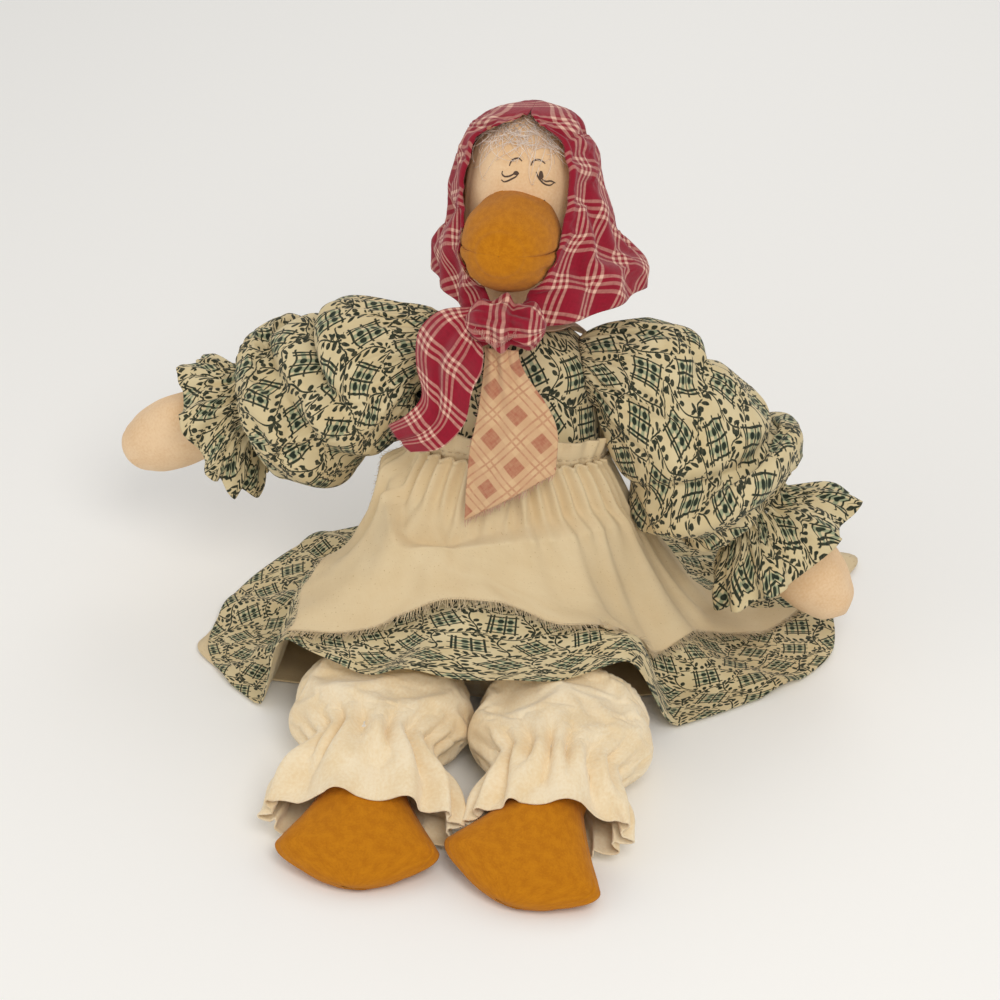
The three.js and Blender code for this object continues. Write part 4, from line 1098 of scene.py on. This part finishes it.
def makeBand(name, body, ringAt, count=72):
    # ringAt(across, out) gives the ring at a share of the width, standing out by some mm
    steps = [(0, 0), (0, 1)] + [(k / 12, 1 + 0.12 * math.cos(k / 12 * 2 * math.pi * elastic["ribs"]))
                                for k in range(1, 12)] + [(1, 1), (1, 0), (0, 0)]
    spots = np.stack([ringAt(a * elastic["width"], o * elastic["thick"], turnsOf(count)[0]) for a, o in steps])
    flat = flatOf(sideways(0, 100, count + 1), lengthways(0, 12, len(steps)))
    piece = clothGrid(name + "_band", spots, flat, closed=True)
    piece.data.materials.append(elasticRib)
    placed(piece, body, "elastic", name)


def makeElastics():
    for side in (1, -1):
        name = sideName[side]
        start, run, across, over = armAxes(side)
        wrist = start + run * (arm[name + "Wrist"] - elastic["width"] / 2)
        makeBand(name + "_sleeve_elastic", name + "_arm", lambda a, o, t: tube(
            wrist + run * a, across, over, elastic["wrist"] + o, elastic["wrist"] + o, t))
        hip, ahead, level = legAxes(side)
        cuff = hip + ahead * elastic["cuffAt"]
        makeBand(name + "_cuff_elastic", name + "_leg", lambda a, o, t: tube(
            cuff + ahead * a, level, plainUp, elastic["cuff"] + o, elastic["cuff"] + o, t))
    wide, deep = (size + elastic["waistOut"] for size in trunkTable[3][1:])
    makeBand("pantaloon_waist_elastic", "torso", lambda a, o, t: aroundTrunk(
        elastic["waistAt"] + a, wide + o, deep + o, t))


legs = {sideName[side]: makeLeg(side) for side in (1, -1)}
for side in (1, -1):
    makeFootHalf(side, True)
    makeFootHalf(side, False)
for side in (1, -1):
    makePant(side)
makeSeat()
makeElastics()
print("legs, feet and pantaloons made")


# Skirt: gathered at the waist, over the lap ahead, and spread on the floor at the sides and back
skirtLook = dict(spread=150.0, back=122.0, front=66.0, skew=0.28, shift=10.0, lap=52.0, rest=3.3, folds=11,
                 depth=7.0, gathers=46, ease=1.8, top=104.8, floorGap=2.6, thick=0.6, cut=860.0,
                 cutLong=150)


def waistRing(turn):
    wide, deep = (trunk[key] + skirtLook["ease"] for key in ("waistWide", "waistDeep"))
    return spine(wide * np.sin(turn), -deep * np.cos(turn), skirtLook["top"])


def hemSpot(turn):
    look = skirtLook
    ahead, out = np.maximum(np.cos(turn), 0), np.abs(np.sin(turn))
    reach = np.where(np.cos(turn) > 0, look["front"], look["back"])
    wide = look["spread"] * (1 - 0.1 * ahead**2 * out)
    sway = np.sin(turn) * (out**2 + 0.02) ** -0.1
    x = wide * sway * np.sqrt(1 - 0.2 * ahead**2) + look["shift"] * out**2
    y = -reach * np.cos(turn) * (1 + 0.12 * ahead) + look["skew"] * (x + np.sqrt(x**2 + 150)) / 2
    return np.stack([x, y, 0 * x], -1)


def skirtSpot(turn, down, lift):
    look = skirtLook
    waist, hem = waistRing(turn), hemSpot(turn)
    ahead = np.maximum(np.cos(turn), 0)
    spot = mix(waist, hem, (down ** mix(1, 0.8, ahead))[..., None])
    x, y = spot[..., 0], spot[..., 1]
    back = 20 * smooth(-x, 10, 40)
    overLegs = (1 - smooth(x, 68, 94)) * (1 - smooth(-x, 84, 106)) * (1 - smooth(y, -34 + back, 8 + back))
    rest = mix(look["rest"], look["lap"], overLegs)
    fall = np.maximum(1 - down, 0) ** mix(3.2, 2.5, ahead)
    ripple = 0.5 + 0.5 * np.cos(look["folds"] * turn + 0.6)
    lies = smooth(np.abs(turn - math.radians(100)), math.radians(16), math.radians(34))
    rise = look["depth"] * ripple * smooth(down, 0.05, 0.8) * mix(0.05, 1, lies)
    z = rest + (waist[..., 2] - rest) * fall + rise
    flare = np.sin(np.pi * np.minimum(down * 1.5, 1)) * 3 * (ripple - 0.5) * (1 - down)
    return np.stack([x + np.sin(turn) * (flare + lift), y - np.cos(turn) * (flare + lift), z + lift], -1)


def skirtFolds(turn, down):  # gathers at the waist that run out into uneven folds
    look = skirtLook
    wander = look["gathers"] * turn + 1.3 * np.sin(4 * turn) + np.sin(9 * turn + 1)
    gather = 0.9 * (1 - smooth(down, 0.02, 0.3)) * np.cos(wander)
    half = 1.5 * hump(down, 0.25, 0.2) * np.cos(wander / 2 + 0.6 * np.sin(3 * turn))
    long = 1.6 * smooth(down, 0.2, 0.9) * np.cos(19 * turn + 1.7 * np.sin(2 * turn) + 3 * down)
    soft = 0.7 * smooth(down, 0.1, 0.5) * rumple(turn * 100, down * 120, 30, 61)
    return gather + half + long * np.cos(3 * turn + 0.5) + soft


def fromBelly(spots, closed=False):  # directions straight out of a cloth, away from the belly
    out = normals(spots, closed)
    return out * np.sign((out * (spots - np.array([0, 40, 30]))).sum(-1, keepdims=True) + 1e-9)


def makeSkirt():
    look = skirtLook
    turn = np.linspace(-np.pi, np.pi, 330, endpoint=False)[None, :]
    turn, down = np.broadcast_arrays(turn, lengthways(0, 1, 74) ** 1.15)
    spots = skirtSpot(turn, down, 0)
    spots = spots + fromBelly(spots, closed=True) * skirtFolds(turn, down)[..., None]
    spots[..., 2] = np.maximum(spots[..., 2], look["floorGap"])
    flat = flatOf(sideways(0, look["cut"], 331), -down[:, :1] * look["cutLong"])
    piece = clothGrid("skirt_cloth", spots[:, ::-1], flat[:, ::-1], closed=True)
    settle(piece, np.maximum(1 - smooth(down, 0.0, 0.05), 0.13), spare=0.05, pull=0.25, bend=0.5, cap=6)
    moved(piece, evened(gridOf(piece), True, 1))
    keepClear(piece, [skins["left_pant"], skins["right_pant"], skins["seat"]], 1.2)
    # A point that stands out sharply goes back among its neighbours
    found = gridOf(piece)
    calm = evened(found, True, 4)
    sharp = np.linalg.norm(found - calm, axis=-1, keepdims=True) > 1.3
    found = np.where(sharp, calm, found)
    found[..., 2] = np.maximum(found[..., 2], look["floorGap"])
    moved(piece, found)
    skins["skirt"] = surface(piece)
    layered(piece, look["thick"], calico, calicoReverse)
    placed(piece, "torso", "calico", "skirt")


# Apron: a muslin panel gathered on its band, with raw fringed edges
apronLook = dict(left=math.radians(104), right=math.radians(-76), corner=math.radians(-36), lift=2.4, thick=0.7,
                 fringe=5.0, gathers=19, gather=1.5, lip=9.0, pleat=1.7, cutWide=340.0, cutLong=118.0)
# Its lower edge, as a share across and how far down the skirt
apronEdge = [[0, 0.98], [0.08, 0.72], [0.2, 0.46], [0.3, 0.45], [0.44, 0.62], [0.6, 0.5], [0.8, 0.5], [0.92, 0.7],
             [1, 0.86]]
# A crease across the lap, by its turn round the waist in degrees and how far down
apronCrease = [[-80, 0.01], [-55, 0.04], [-40, 0.13], [-25, 0.24], [-18, 0.22], [-8, 0.16], [4, 0.12], [27, 0.09],
               [54, 0.08], [80, 0.1], [106, 0.12]]


def makeApron():
    look = apronLook
    share, k = sideways(0, 1, 240), lengthways(0, 1, 120)
    turn = mix(mix(look["right"], look["corner"], smooth(k, 0.1, 1)), look["left"], share)
    down = mix(-0.012, follow(apronEdge, share)[0], k)
    spots = skirtSpot(turn, np.maximum(down, 0), look["lift"])
    spots[..., 2] += np.maximum(-down, 0) * 260
    out = fromBelly(spots)
    wander = look["gathers"] * share * 2 * np.pi + 2 * np.sin(9 * share) + 1.2 * np.sin(23 * share)
    gather = look["gather"] * (1 - smooth(k, 0.03, 0.4)) * (np.cos(wander) + 0.6) * smooth(k, -0.1, 0.1)
    long = 1.2 * smooth(k, 0.1, 0.6) * np.cos(wander / 5 + 1.5 * np.sin(5 * share))
    under = np.maximum(skirtFolds(turn, np.maximum(down, 0)), -0.6)
    spots = spots + out * (under + gather + 0.7 * long + 0.5)[..., None]
    flat = flatOf(share * look["cutWide"], -k * look["cutLong"])
    piece = clothGrid("apron_cloth", spots[:, ::-1], flat[:, ::-1])
    settle(piece, np.maximum(1 - smooth(k, 0.0, 0.06), 0.1) + 0 * share, spare=0.05, pull=0.1, bend=0.6, cap=5)
    # The lap comes up over a deep crease below the belly, and one flat pleat runs down to it
    grid = gridOf(piece)
    grid = mix(grid, evened(grid, False, 8), smooth(k, 0.15, 0.35)[..., None])
    past = down - follow(apronCrease, np.degrees(turn))[0]
    lip = look["lip"] * smooth(past, -0.02, 0.025) * np.exp(-np.maximum(past, 0) / 0.2)
    lip = lip * (1 - 0.8 * smooth(turn, 0.5, 1.4))
    middle = mix(0.24, 0.16, smooth(past, -0.1, 0))
    pleat = look["pleat"] * (1 - smooth(np.abs(turn - middle), 0.07, 0.085)) * (1 - smooth(past, -0.02, 0))
    grid = grid + (out * (lip + pleat)[..., None])[:, ::-1]
    front = (hump(turn, 0, 0.1) * smooth(k, 0.25, 0.4))[:, ::-1]
    grid = mix(grid, evened(grid, False, 12), front[..., None])
    moved(piece, grid)
    keepClear(piece, [skins["skirt"]], 1.0)
    grid = gridOf(piece)
    lower, right = grid[-1], grid[:, -1]
    fringe = frayed("apron_fringe", lower, lower - grid[-3], look["fringe"], 0.6, 0.2, muslinThread, 71)
    side = frayed("apron_side_fringe", right, right - grid[:, -3], look["fringe"] * 0.7, 0.85, 0.15, muslinThread, 72)
    skins["apron"] = surface(piece, (0, 30, 50))
    layered(piece, look["thick"], muslin)
    for part in (fringe, side):
        placed(part, "torso", "muslin")
    placed(piece, "torso", "muslin", "apron")


bandLook = dict(low=-2.5, height=14.0, grow=3.3, ruffle=5.5, gathers=24, stitchUp=5.4, thick=0.8, cut=330)


def makeApronBand():
    look = bandLook
    turn = turnsOf(260)
    up = lengthways(look["low"], look["height"], 24)
    share = (up - 1.5) / (look["height"] - 1.5)
    ahead = np.maximum(np.cos(turn) + 0.25, 0)
    wander = look["gathers"] * turn + 1.1 * np.sin(5 * turn) + 0.7 * np.sin(11 * turn)
    ruffle = look["ruffle"] * np.maximum(share, 0) * ahead * (0.4 + 0.4 * np.cos(wander))
    pinch = -0.7 * hump(up, 5.5, 1.2) * (0.6 + 0.4 * np.cos(wander)) * ahead
    gather = 0.5 * np.cos(wander) * ahead * (1 - smooth(up, 5, 8))
    grow = look["grow"] + 2 * np.maximum(share, 0) + ruffle + pinch + gather
    base, wide, deep = trunk["waistUp"], trunk["waistWide"], trunk["waistDeep"]
    spots = aroundTrunk(base + up, wide + grow, deep + grow, turn)
    piece = clothGrid("band_cloth", spots, flatOf(sideways(0, look["cut"], 261), up), closed=True)
    out = look["grow"] + 1.2 + 0.6 * ahead[0] * np.cos(wander[0])
    ring = aroundTrunk(base + look["stitchUp"], wide + out, deep + out, turn[0])
    outward = ring - spine(0, 0, base + look["stitchUp"])
    outward /= np.linalg.norm(outward, axis=1, keepdims=True)
    row = stitched("apron_band_stitches", ring, outward, 2.2, 1.5, 0.28, muslinThread)
    layered(piece, look["thick"], muslin)
    placed(row, "torso", "muslin")
    placed(piece, "torso", "muslin", "apron_band")


bowLook = dict(reach=30.0, tails=44.0, wide=9.0, knot=4.6, out=7.2, up=113.0, thick=0.7)


def makeBow():
    look = bowLook
    centre = spine(0, trunk["waistDeep"] + bandLook["grow"] + look["out"], look["up"])
    turnBy = np.array(Matrix.Rotation(-trunk["recline"] * 0.2, 3, "X"))
    ribbons = []
    for side in (1, -1):
        t = np.linspace(0, np.pi, 60)
        across = side * (2 + (look["reach"] - 3) * np.sin(t) ** 0.8)
        loop = np.stack([across, 3 * np.cos(t), 1 + 2 * np.sin(2 * t)], -1)
        ribbons.append((loop, look["wide"] * 0.5 * (0.35 + 0.65 * np.sin(t) ** 0.6)))
        s = np.linspace(0, 1, 50)
        end = np.stack([side * 0.32 * look["tails"] * s, 0.34 * look["tails"] * s * 0.6 + 1.2 * np.sin(5 * s),
                        -look["tails"] * 0.9 * s], -1)
        ribbons.append((end, mix(2.4, look["wide"] * 0.5, smooth(s, 0, 0.3))))
    made = []
    for n, (line, half) in enumerate(ribbons):
        width = np.linspace(-1, 1, 9)
        cross = plainUp if n % 2 == 0 else np.array([1.0, 0, 0])
        spots = line[:, None] + width[None, :, None] * half[:, None, None] * cross
        spots[..., 1] += 0.5 * np.cos(width * 5)[None, :]
        flat = flatOf(width[None, :] * look["wide"] / 2, lengthways(0, 50, len(line)))
        piece = clothGrid(f"bow_{n}", centre + spots @ turnBy.T, flat)
        made.append(layered(piece, look["thick"], muslin, side=0))
    t, p = np.broadcast_arrays(lengthways(0, np.pi, 18), turnsOf(24))
    size = look["knot"] * (1 + 0.07 * np.cos(7 * p))
    ball = np.stack([size * np.sin(t) * np.cos(p) * 0.9, size * np.sin(t) * np.sin(p), size * np.cos(t) * 1.1], -1)
    flat = flatOf(sideways(0, 28, 25), t[:, :1] * 5)
    knot = clothGrid("bow_cloth", centre + ball @ turnBy.T, flat, closed=True)
    knot.data.materials.append(muslin)
    made.insert(0, knot)
    with bpy.context.temp_override(active_object=knot, selected_editable_objects=made, selected_objects=made):
        bpy.ops.object.join()
    placed(knot, "torso", "muslin", "apron_bow")


# Where the petticoat shows past the hem: the turn in degrees, how far in mm, and how wide
petticoatLook = dict(shows=[(112, 8.0, 0.3), (121, 25.6, 0.13), (278, 9.6, 0.2)], tuck=5.0, floorGap=0.9,
                     thick=0.7, cut=130, cutLong=110)


def makePetticoat():
    look = petticoatLook
    turn, k = sideways(math.radians(66), math.radians(294), 200), lengthways(0, 1, 40)
    shown = sum(far * hump(turn[0], math.radians(at), wide) for at, far, wide in look["shows"])
    far = hemSpot(turn[0]) * (1 + (shown - look["tuck"]) / skirtLook["spread"])[:, None]
    near = np.stack([8 * np.sin(turn[0]), -25.84 - 6 * np.cos(turn[0]), 0 * turn[0]], -1)
    spots = mix(near[None], far[None], k[..., None])
    spots[..., 2] = look["floorGap"] + 0.35 * smooth(k, 0.3, 1) * (1 + np.sin(turn * 31 + 2 * np.sin(turn * 7)))
    flat = flatOf(turn * look["cut"], k * look["cutLong"])
    piece = clothGrid("petticoat_cloth", spots, flat)
    line = mix(near, far, 0.965)
    line[:, 2] = spots[-2, :, 2] + 0.15
    row = stitched("petticoat_stitches", line, np.tile(plainUp, (200, 1)), 2.4, 1.6, 0.2, muslinThread)
    layered(piece, look["thick"], muslin)
    placed(row, "torso", "muslin")
    placed(piece, "torso", "muslin", "petticoat")


makeSkirt()
makeApron()
makeApronBand()
makeBow()
makePetticoat()
print("skirt and apron made")


# Sleeves: wide, pinched at the shoulder and gathered on elastic, with a frill over the hand
sleeveLook = dict(frill=21.0, start=21.0, startX=42.2, cuff=18.5, least=17.6, pleats=25, floorGap=1.5, thick=0.6,
                  cut=258)
# Each side's own: how wide, its frill's reach, droop and length, its lift over the arm, how far the shoulder's bend
# runs, the puff at its head, and its folds (where along it, how far each slants, its depth and its width)
sleeveSides = dict(
    left=dict(radius=36.0, end=40.0, droop=0.0, reach=0.0, lift=5.0, bend=42.0, puff=10.0,
              folds=[(22, 8, 4.5, 6), (62, 11, 6.0, 8), (90, 13, 5.0, 7)]),
    right=dict(radius=38.0, end=35.0, droop=5.0, reach=-5.0, lift=-8.0, bend=27.0, puff=8.0,
               folds=[(57, 14, 5.5, 6.5)]))


def makeSleeve(side):
    name = sideName[side]
    look, own = sleeveLook, sleeveSides[name]
    shoulderAt, run, level, over = armAxes(side)
    begin = shoulderAt.copy()
    begin[0] = side * look["startX"]
    lift = over * np.sign(over[2]) * own["lift"]
    wrist, frill = arm[name + "Wrist"], look["frill"] + own["reach"]
    points = [begin, begin + [side * 7, 0, 0], shoulderAt + run * 0.3 * wrist + lift,
              shoulderAt + run * 0.65 * wrist + lift / 2, shoulderAt + run * wrist,
              shoulderAt + run * (wrist + frill)]
    path, whole = route(points, 150)
    s = lengthways(0, whole, 150)
    bound, size, cuff = whole - frill, own["radius"], look["cuff"]
    table = [[0, look["start"]], [0.14 * bound, 0.8 * size], [0.34 * bound, 0.8 * size], [0.6 * bound, size],
             [0.78 * bound, 0.97 * size], [0.92 * bound, 0.76 * size], [bound - 2.5, cuff], [bound + 2.5, cuff],
             [bound + 0.5 * look["frill"], mix(cuff, own["end"], 0.75)], [whole, own["end"]]]
    radius = np.maximum(follow(table, s)[0], look["least"])
    way = np.gradient(path, axis=0)
    way /= np.linalg.norm(way, axis=1, keepdims=True)
    one = level - way * (way @ level)[:, None]
    one /= np.linalg.norm(one, axis=1, keepdims=True)
    two = np.cross(one, way)
    turn = turnsOf(200)
    wander = look["pleats"] * turn + np.sin(4 * turn + side) + 0.8 * np.sin(9 * turn)
    atWrist, atShoulder = hump(s, bound, 13), 1 - smooth(s, 4, 26)
    pleat = (1.5 * atWrist + 0.9 * atShoulder * smooth(s, 0, 6)) * np.cos(wander)
    flute = 3.0 * smooth(s, bound + 2, whole) * np.cos(9 * turn + 1.2 * np.sin(2 * turn + side))
    body = smooth(s, 10, 40) * (1 - smooth(s, bound - 20, bound))
    soft = 2.2 * body * rumple(turn * 30 + s * 0.5, s - turn * 12, 34, 81 + side)
    out = radius + pleat + flute + soft
    rise = one[75, 2] * np.cos(turn) + two[75, 2] * np.sin(turn)
    out = out + own["puff"] * hump(s, 17, 13) * np.maximum(rise, 0) ** 1.5
    for at, slant, deep, wide in own["folds"]:
        d = s - at - slant * rise
        crest = 0.7 * hump(d, 1.8 * wide, 1.4 * wide) + 0.35 * hump(d, -1.9 * wide, 1.5 * wide)
        out = out + deep * body * (crest - hump(d, 0, wide))
    spots = tube(path[:, None], one[:, None], two[:, None], out, out, turn)
    spots[..., 2] = np.maximum(spots[..., 2], look["floorGap"])
    # Its head is sewn to the bodice round the armhole
    found = [skins["bodice"].find_nearest(p - np.array([side * 3.0, 0, 0])) for p in spots[0]]
    sewn = np.array([on + outward * 0.9 for on, outward, _, _ in found])
    spots = spots + (sewn - spots[0])[None] * (1 - smooth(s, 0, 20))[..., None]
    spots[..., 2] -= own["droop"] * smooth(s, bound, whole)
    spots[..., 2] = np.maximum(spots[..., 2], look["floorGap"])
    flat = flatOf(sideways(0, look["cut"], 201), s)
    inward = (normals(spots, closed=True) * (spots - path[:, None])).sum() < 0
    order = slice(None, None, -1 if inward else 1)
    piece = clothGrid(name + "_sleeve_cloth", spots[order], flat[order], closed=True)
    hold = np.maximum(np.maximum(1 - smooth(s, 0, 5), 0.75 * hump(s, bound, 4)), 0.1) + 0 * turn
    settle(piece, hold[order], spare=0.1, pull=0.2, bend=0.3, cap=8)
    keepClear(piece, [surface(arms[name]), skins["skirt"], skins["apron"]], 1.0)
    recut(piece, look["cut"], inward)
    layered(piece, look["thick"], calico, calicoReverse)
    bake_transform(piece)
    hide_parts(name + "_sleeve")


for side in (1, -1):
    makeSleeve(side)
print("sleeves made")


# Kerchief: a square of homespun round the head, knotted under the bill, with its two corners hanging
hoodLook = dict(leftFlare=34.0, rightFlare=13.0, ease=3.5, top=101.5, thick=0.8, folds=1.5, roll=2.6)
knotLook = dict(x=3.0, y=-51.0, z=6.76, half=18.0, cut=58, cutLong=14)
# Rows up the hood: share of its height, flare, depth, and how far open on the left and the right
hoodTable = [[0, 0.94, 43.8, 4, 6], [0.12, 0.9, 43.5, 8, 11], [0.26, 0.55, 42, 20, 26], [0.42, 0.34, 37, 32, 38],
             [0.58, 0.14, 33, 41, 48], [0.73, 0, 30.5, 42, 46], [0.84, -0.13, 28.2, 38, 40],
             [0.92, -0.32, 23.5, 15, 17], [0.96, -0.52, 17, 2, 2], [1, -0.92, 1.6, 1, 1]]


def makeHood():
    look = hoodLook
    s, k = np.r_[lengthways(0, 0.8, 84), lengthways(0.81, 1, 40)], sideways(0, 1, 190)
    stand, deep, left, right = follow(hoodTable, s)
    turn = mix(np.radians(left), 2 * np.pi - np.radians(right), k)
    edge = np.minimum(k, 1 - k)
    flare = mix(look["leftFlare"], look["rightFlare"], smooth(np.sin(turn), 0.25, -0.25))
    crown = head["radius"] + look["ease"]
    wide = np.where(stand >= 0, crown + (flare - look["ease"]) * stand, crown * (1 + stand))
    behind = np.maximum(-np.cos(turn), 0)
    back = mix(deep, np.minimum(deep, head["radius"] + 14), behind)
    low = knotLook["z"] - 3 + 18 * np.sin(turn) ** 2
    # Folds fan up from the knot and across the back
    fan = look["folds"] * (1 - s) ** 1.5 * np.cos(13 * turn + 2.5 * s)
    pull = 1.1 * hump(s, 0.3, 0.25) * np.cos(21 * turn + 1.5 * np.sin(3 * turn)) * smooth(edge, 0.02, 0.1)
    soft = 0.9 * rumple(turn * 33, s * 98, 24, 91) * (1 - smooth(s, 0.85, 1))
    roll = look["roll"] * hump(edge, 0.012, 0.014) * (1 - smooth(s, 0.86, 0.97))
    out = fan + pull + soft + roll
    x, y = (wide + out) * np.sin(turn), -(back + out) * np.cos(turn)
    x = x + knotLook["x"] * (1 - smooth(s, 0, 0.25)) * np.maximum(np.cos(turn), 0) + 3 * smooth(s, 0.8, 1)
    z = mix(low, look["top"], s) + 0 * turn
    spots = headSpot(x, y, z)
    d = np.linalg.norm(spots - headSpot(0, 0, look["top"]), axis=-1)
    psi = (k * 2 - 1) * math.radians(92)
    flat = np.stack([d * np.sin(psi), d * np.cos(psi)], -1)
    piece = clothGrid("hood_cloth", spots, flat)
    ends = np.maximum(1 - smooth(s, 0, 0.05), smooth(s, 0.9, 1))
    hold = np.maximum(np.maximum(0.5 * hump(edge, 0, 0.03), ends), 0.14)
    settle(piece, hold, spare=0.06, pull=0.2, bend=0.5, cap=4)
    keepClear(piece, [skins["head"], skins["bill_upper"], skins["bill_lower"]], 1.0, reach=8)
    layered(piece, look["thick"], homespun, homespunReverse)
    placed(piece, "head", "homespun", "kerchief_hood")


def makeKnot():
    look = knotLook
    t, p = lengthways(0.06, np.pi - 0.06, 70), turnsOf(90)
    twist = p + 0.55 * np.cos(t)
    crease = 0.11 * np.cos(7 * twist + 2.2 * np.cos(t)) + 0.06 * np.cos(12 * twist + 4 * t)
    nip = 1 + 0.12 * np.cos(9 * np.cos(t)) - 0.2 * hump(np.cos(t), 0.18, 0.09)
    size = look["half"] * (np.sin(t) ** 0.8) * nip * (1 + crease)
    spots = headSpot(look["x"] + look["half"] * np.cos(t), look["y"] + 0.62 * size * np.sin(p),
                     look["z"] + 0.6 * size * np.cos(p))
    flat = flatOf(sideways(0, look["cut"], 91), t * look["cutLong"])
    piece = clothGrid("knot_cloth", spots, flat, closed=True, caps="first last")
    piece.data.materials.append(homespun)
    placed(piece, "head", "homespun", "kerchief_knot")


paleTail = dict(top=15.0, wide=40.0, slant=26.0, length=80.0, fringe=3.0, topFringe=4.5, thick=0.7)


def makePaleTail():
    look = paleTail
    k, a = lengthways(0, 1, 80), sideways(0, 1, 60)
    width = mix(look["top"], look["wide"], smooth(k, 0, 0.75))
    topZ = knotLook["z"] - 11.4
    z = topZ - (look["length"] - look["slant"]) * k - look["slant"] * k**2 * (1 - a)
    x = mix(2, 10, smooth(k, 0, 0.6)) + (a - 0.5) * width
    wave = 2.6 * k * np.sin(a * 7 + 1.2) + 1.0 * (1 - k) * np.cos(a * 19) + 0.7 * rumple(x, z, 22, 95)
    spots = headSpot(x, knotLook["y"] + wave - 2 * k, z)
    flat = np.stack([(x + z) * 0.707, (x - z) * 0.707], -1)
    piece = clothGrid("pale_tail_cloth", spots[:, ::-1], flat[:, ::-1])
    end, edge = spots[-1], spots[8:52, 0]
    top = headSpot(np.linspace(-9, 10, 20), knotLook["y"] - 11.5, topZ + 6 + 3 * np.cos(np.linspace(0, 6, 20)))
    rising = np.tile(headSpot(0, -0.6, 1.0) - headSpot(0, 0, 0), (20, 1))
    rows = [("", end, end - spots[-4], look["fringe"], 0.7, 0.14, 96),
            ("_side", edge, edge - spots[8:52, 2], look["fringe"] * 0.6, 1.0, 0.13, 97),
            ("_top", top, rising, look["topFringe"], 0.6, 0.16, 94)]
    loose = [frayed(f"pale_tail{part}_fringe", *rest, homespunThread, seed) for part, *rest, seed in rows]
    layered(piece, look["thick"], homespunReverse, homespun, side=0)
    for part in loose:
        placed(part, "left_tail", "homespun_reverse")
    placed(piece, "left_tail", "homespun_reverse", "left_kerchief_tail")


# Edges of the checked tail from the knot, in mm across, ahead and up
curlTail = dict(
    thick=0.8, fringe=2.2, cut=33, cutLong=68,
    outer=[(-13, 1, 6), (-27, -1, 3), (-36, 1, -7), (-36, 3, -24), (-33, 1, -37), (-39, -2, -45), (-48, 2, -52)],
    inner=[(-13, -3, -6), (-6, -5, -11), (-5, -6, -19), (-9, -4, -30), (-13, -3, -48), (-22, -4, -58), (-36, 0, -62)])


def makeCurlTail():
    look = curlTail
    base = np.array([0, knotLook["y"], knotLook["z"]])
    first, second = (route(np.array(look[edge]) + base, 80)[0] for edge in ("outer", "inner"))
    a, k = sideways(0, 1, 50), lengthways(0, 1, 80)
    local = mix(first[:, None], second[:, None], a[..., None])
    # A deep fold runs down it, and its foot curls back
    local[..., 1] -= 5.5 * smooth(k, 0, 0.25) * np.sin(np.pi * a) ** 1.5 * (1 - 0.4 * k)
    local[..., 1] += 2.6 * hump(a, 0.36 + 0.2 * k, 0.09) * smooth(k, 0.05, 0.4) + 4 * smooth(k, 0.75, 1) * (1 - a)
    local[..., 1] += (1 - k) * np.cos(a * 17) + 0.8 * rumple(local[..., 0], local[..., 2], 20, 98)
    spots = headSpot(*np.moveaxis(local, -1, 0))
    flat = flatOf(a * look["cut"] + 4, k * look["cutLong"])
    piece = clothGrid("checked_tail_cloth", spots, flat)
    end = spots[-1]
    lower = frayed("checked_tail_fringe", end, end - spots[-4], look["fringe"], 0.6, 0.14, homespunThread, 99)
    layered(piece, look["thick"], homespunReverse, homespun, side=0)
    placed(lower, "right_tail", "homespun")
    placed(piece, "right_tail", "homespun", "right_kerchief_tail")


makeHood()
makeKnot()
makePaleTail()
makeCurlTail()
print("kerchief made")
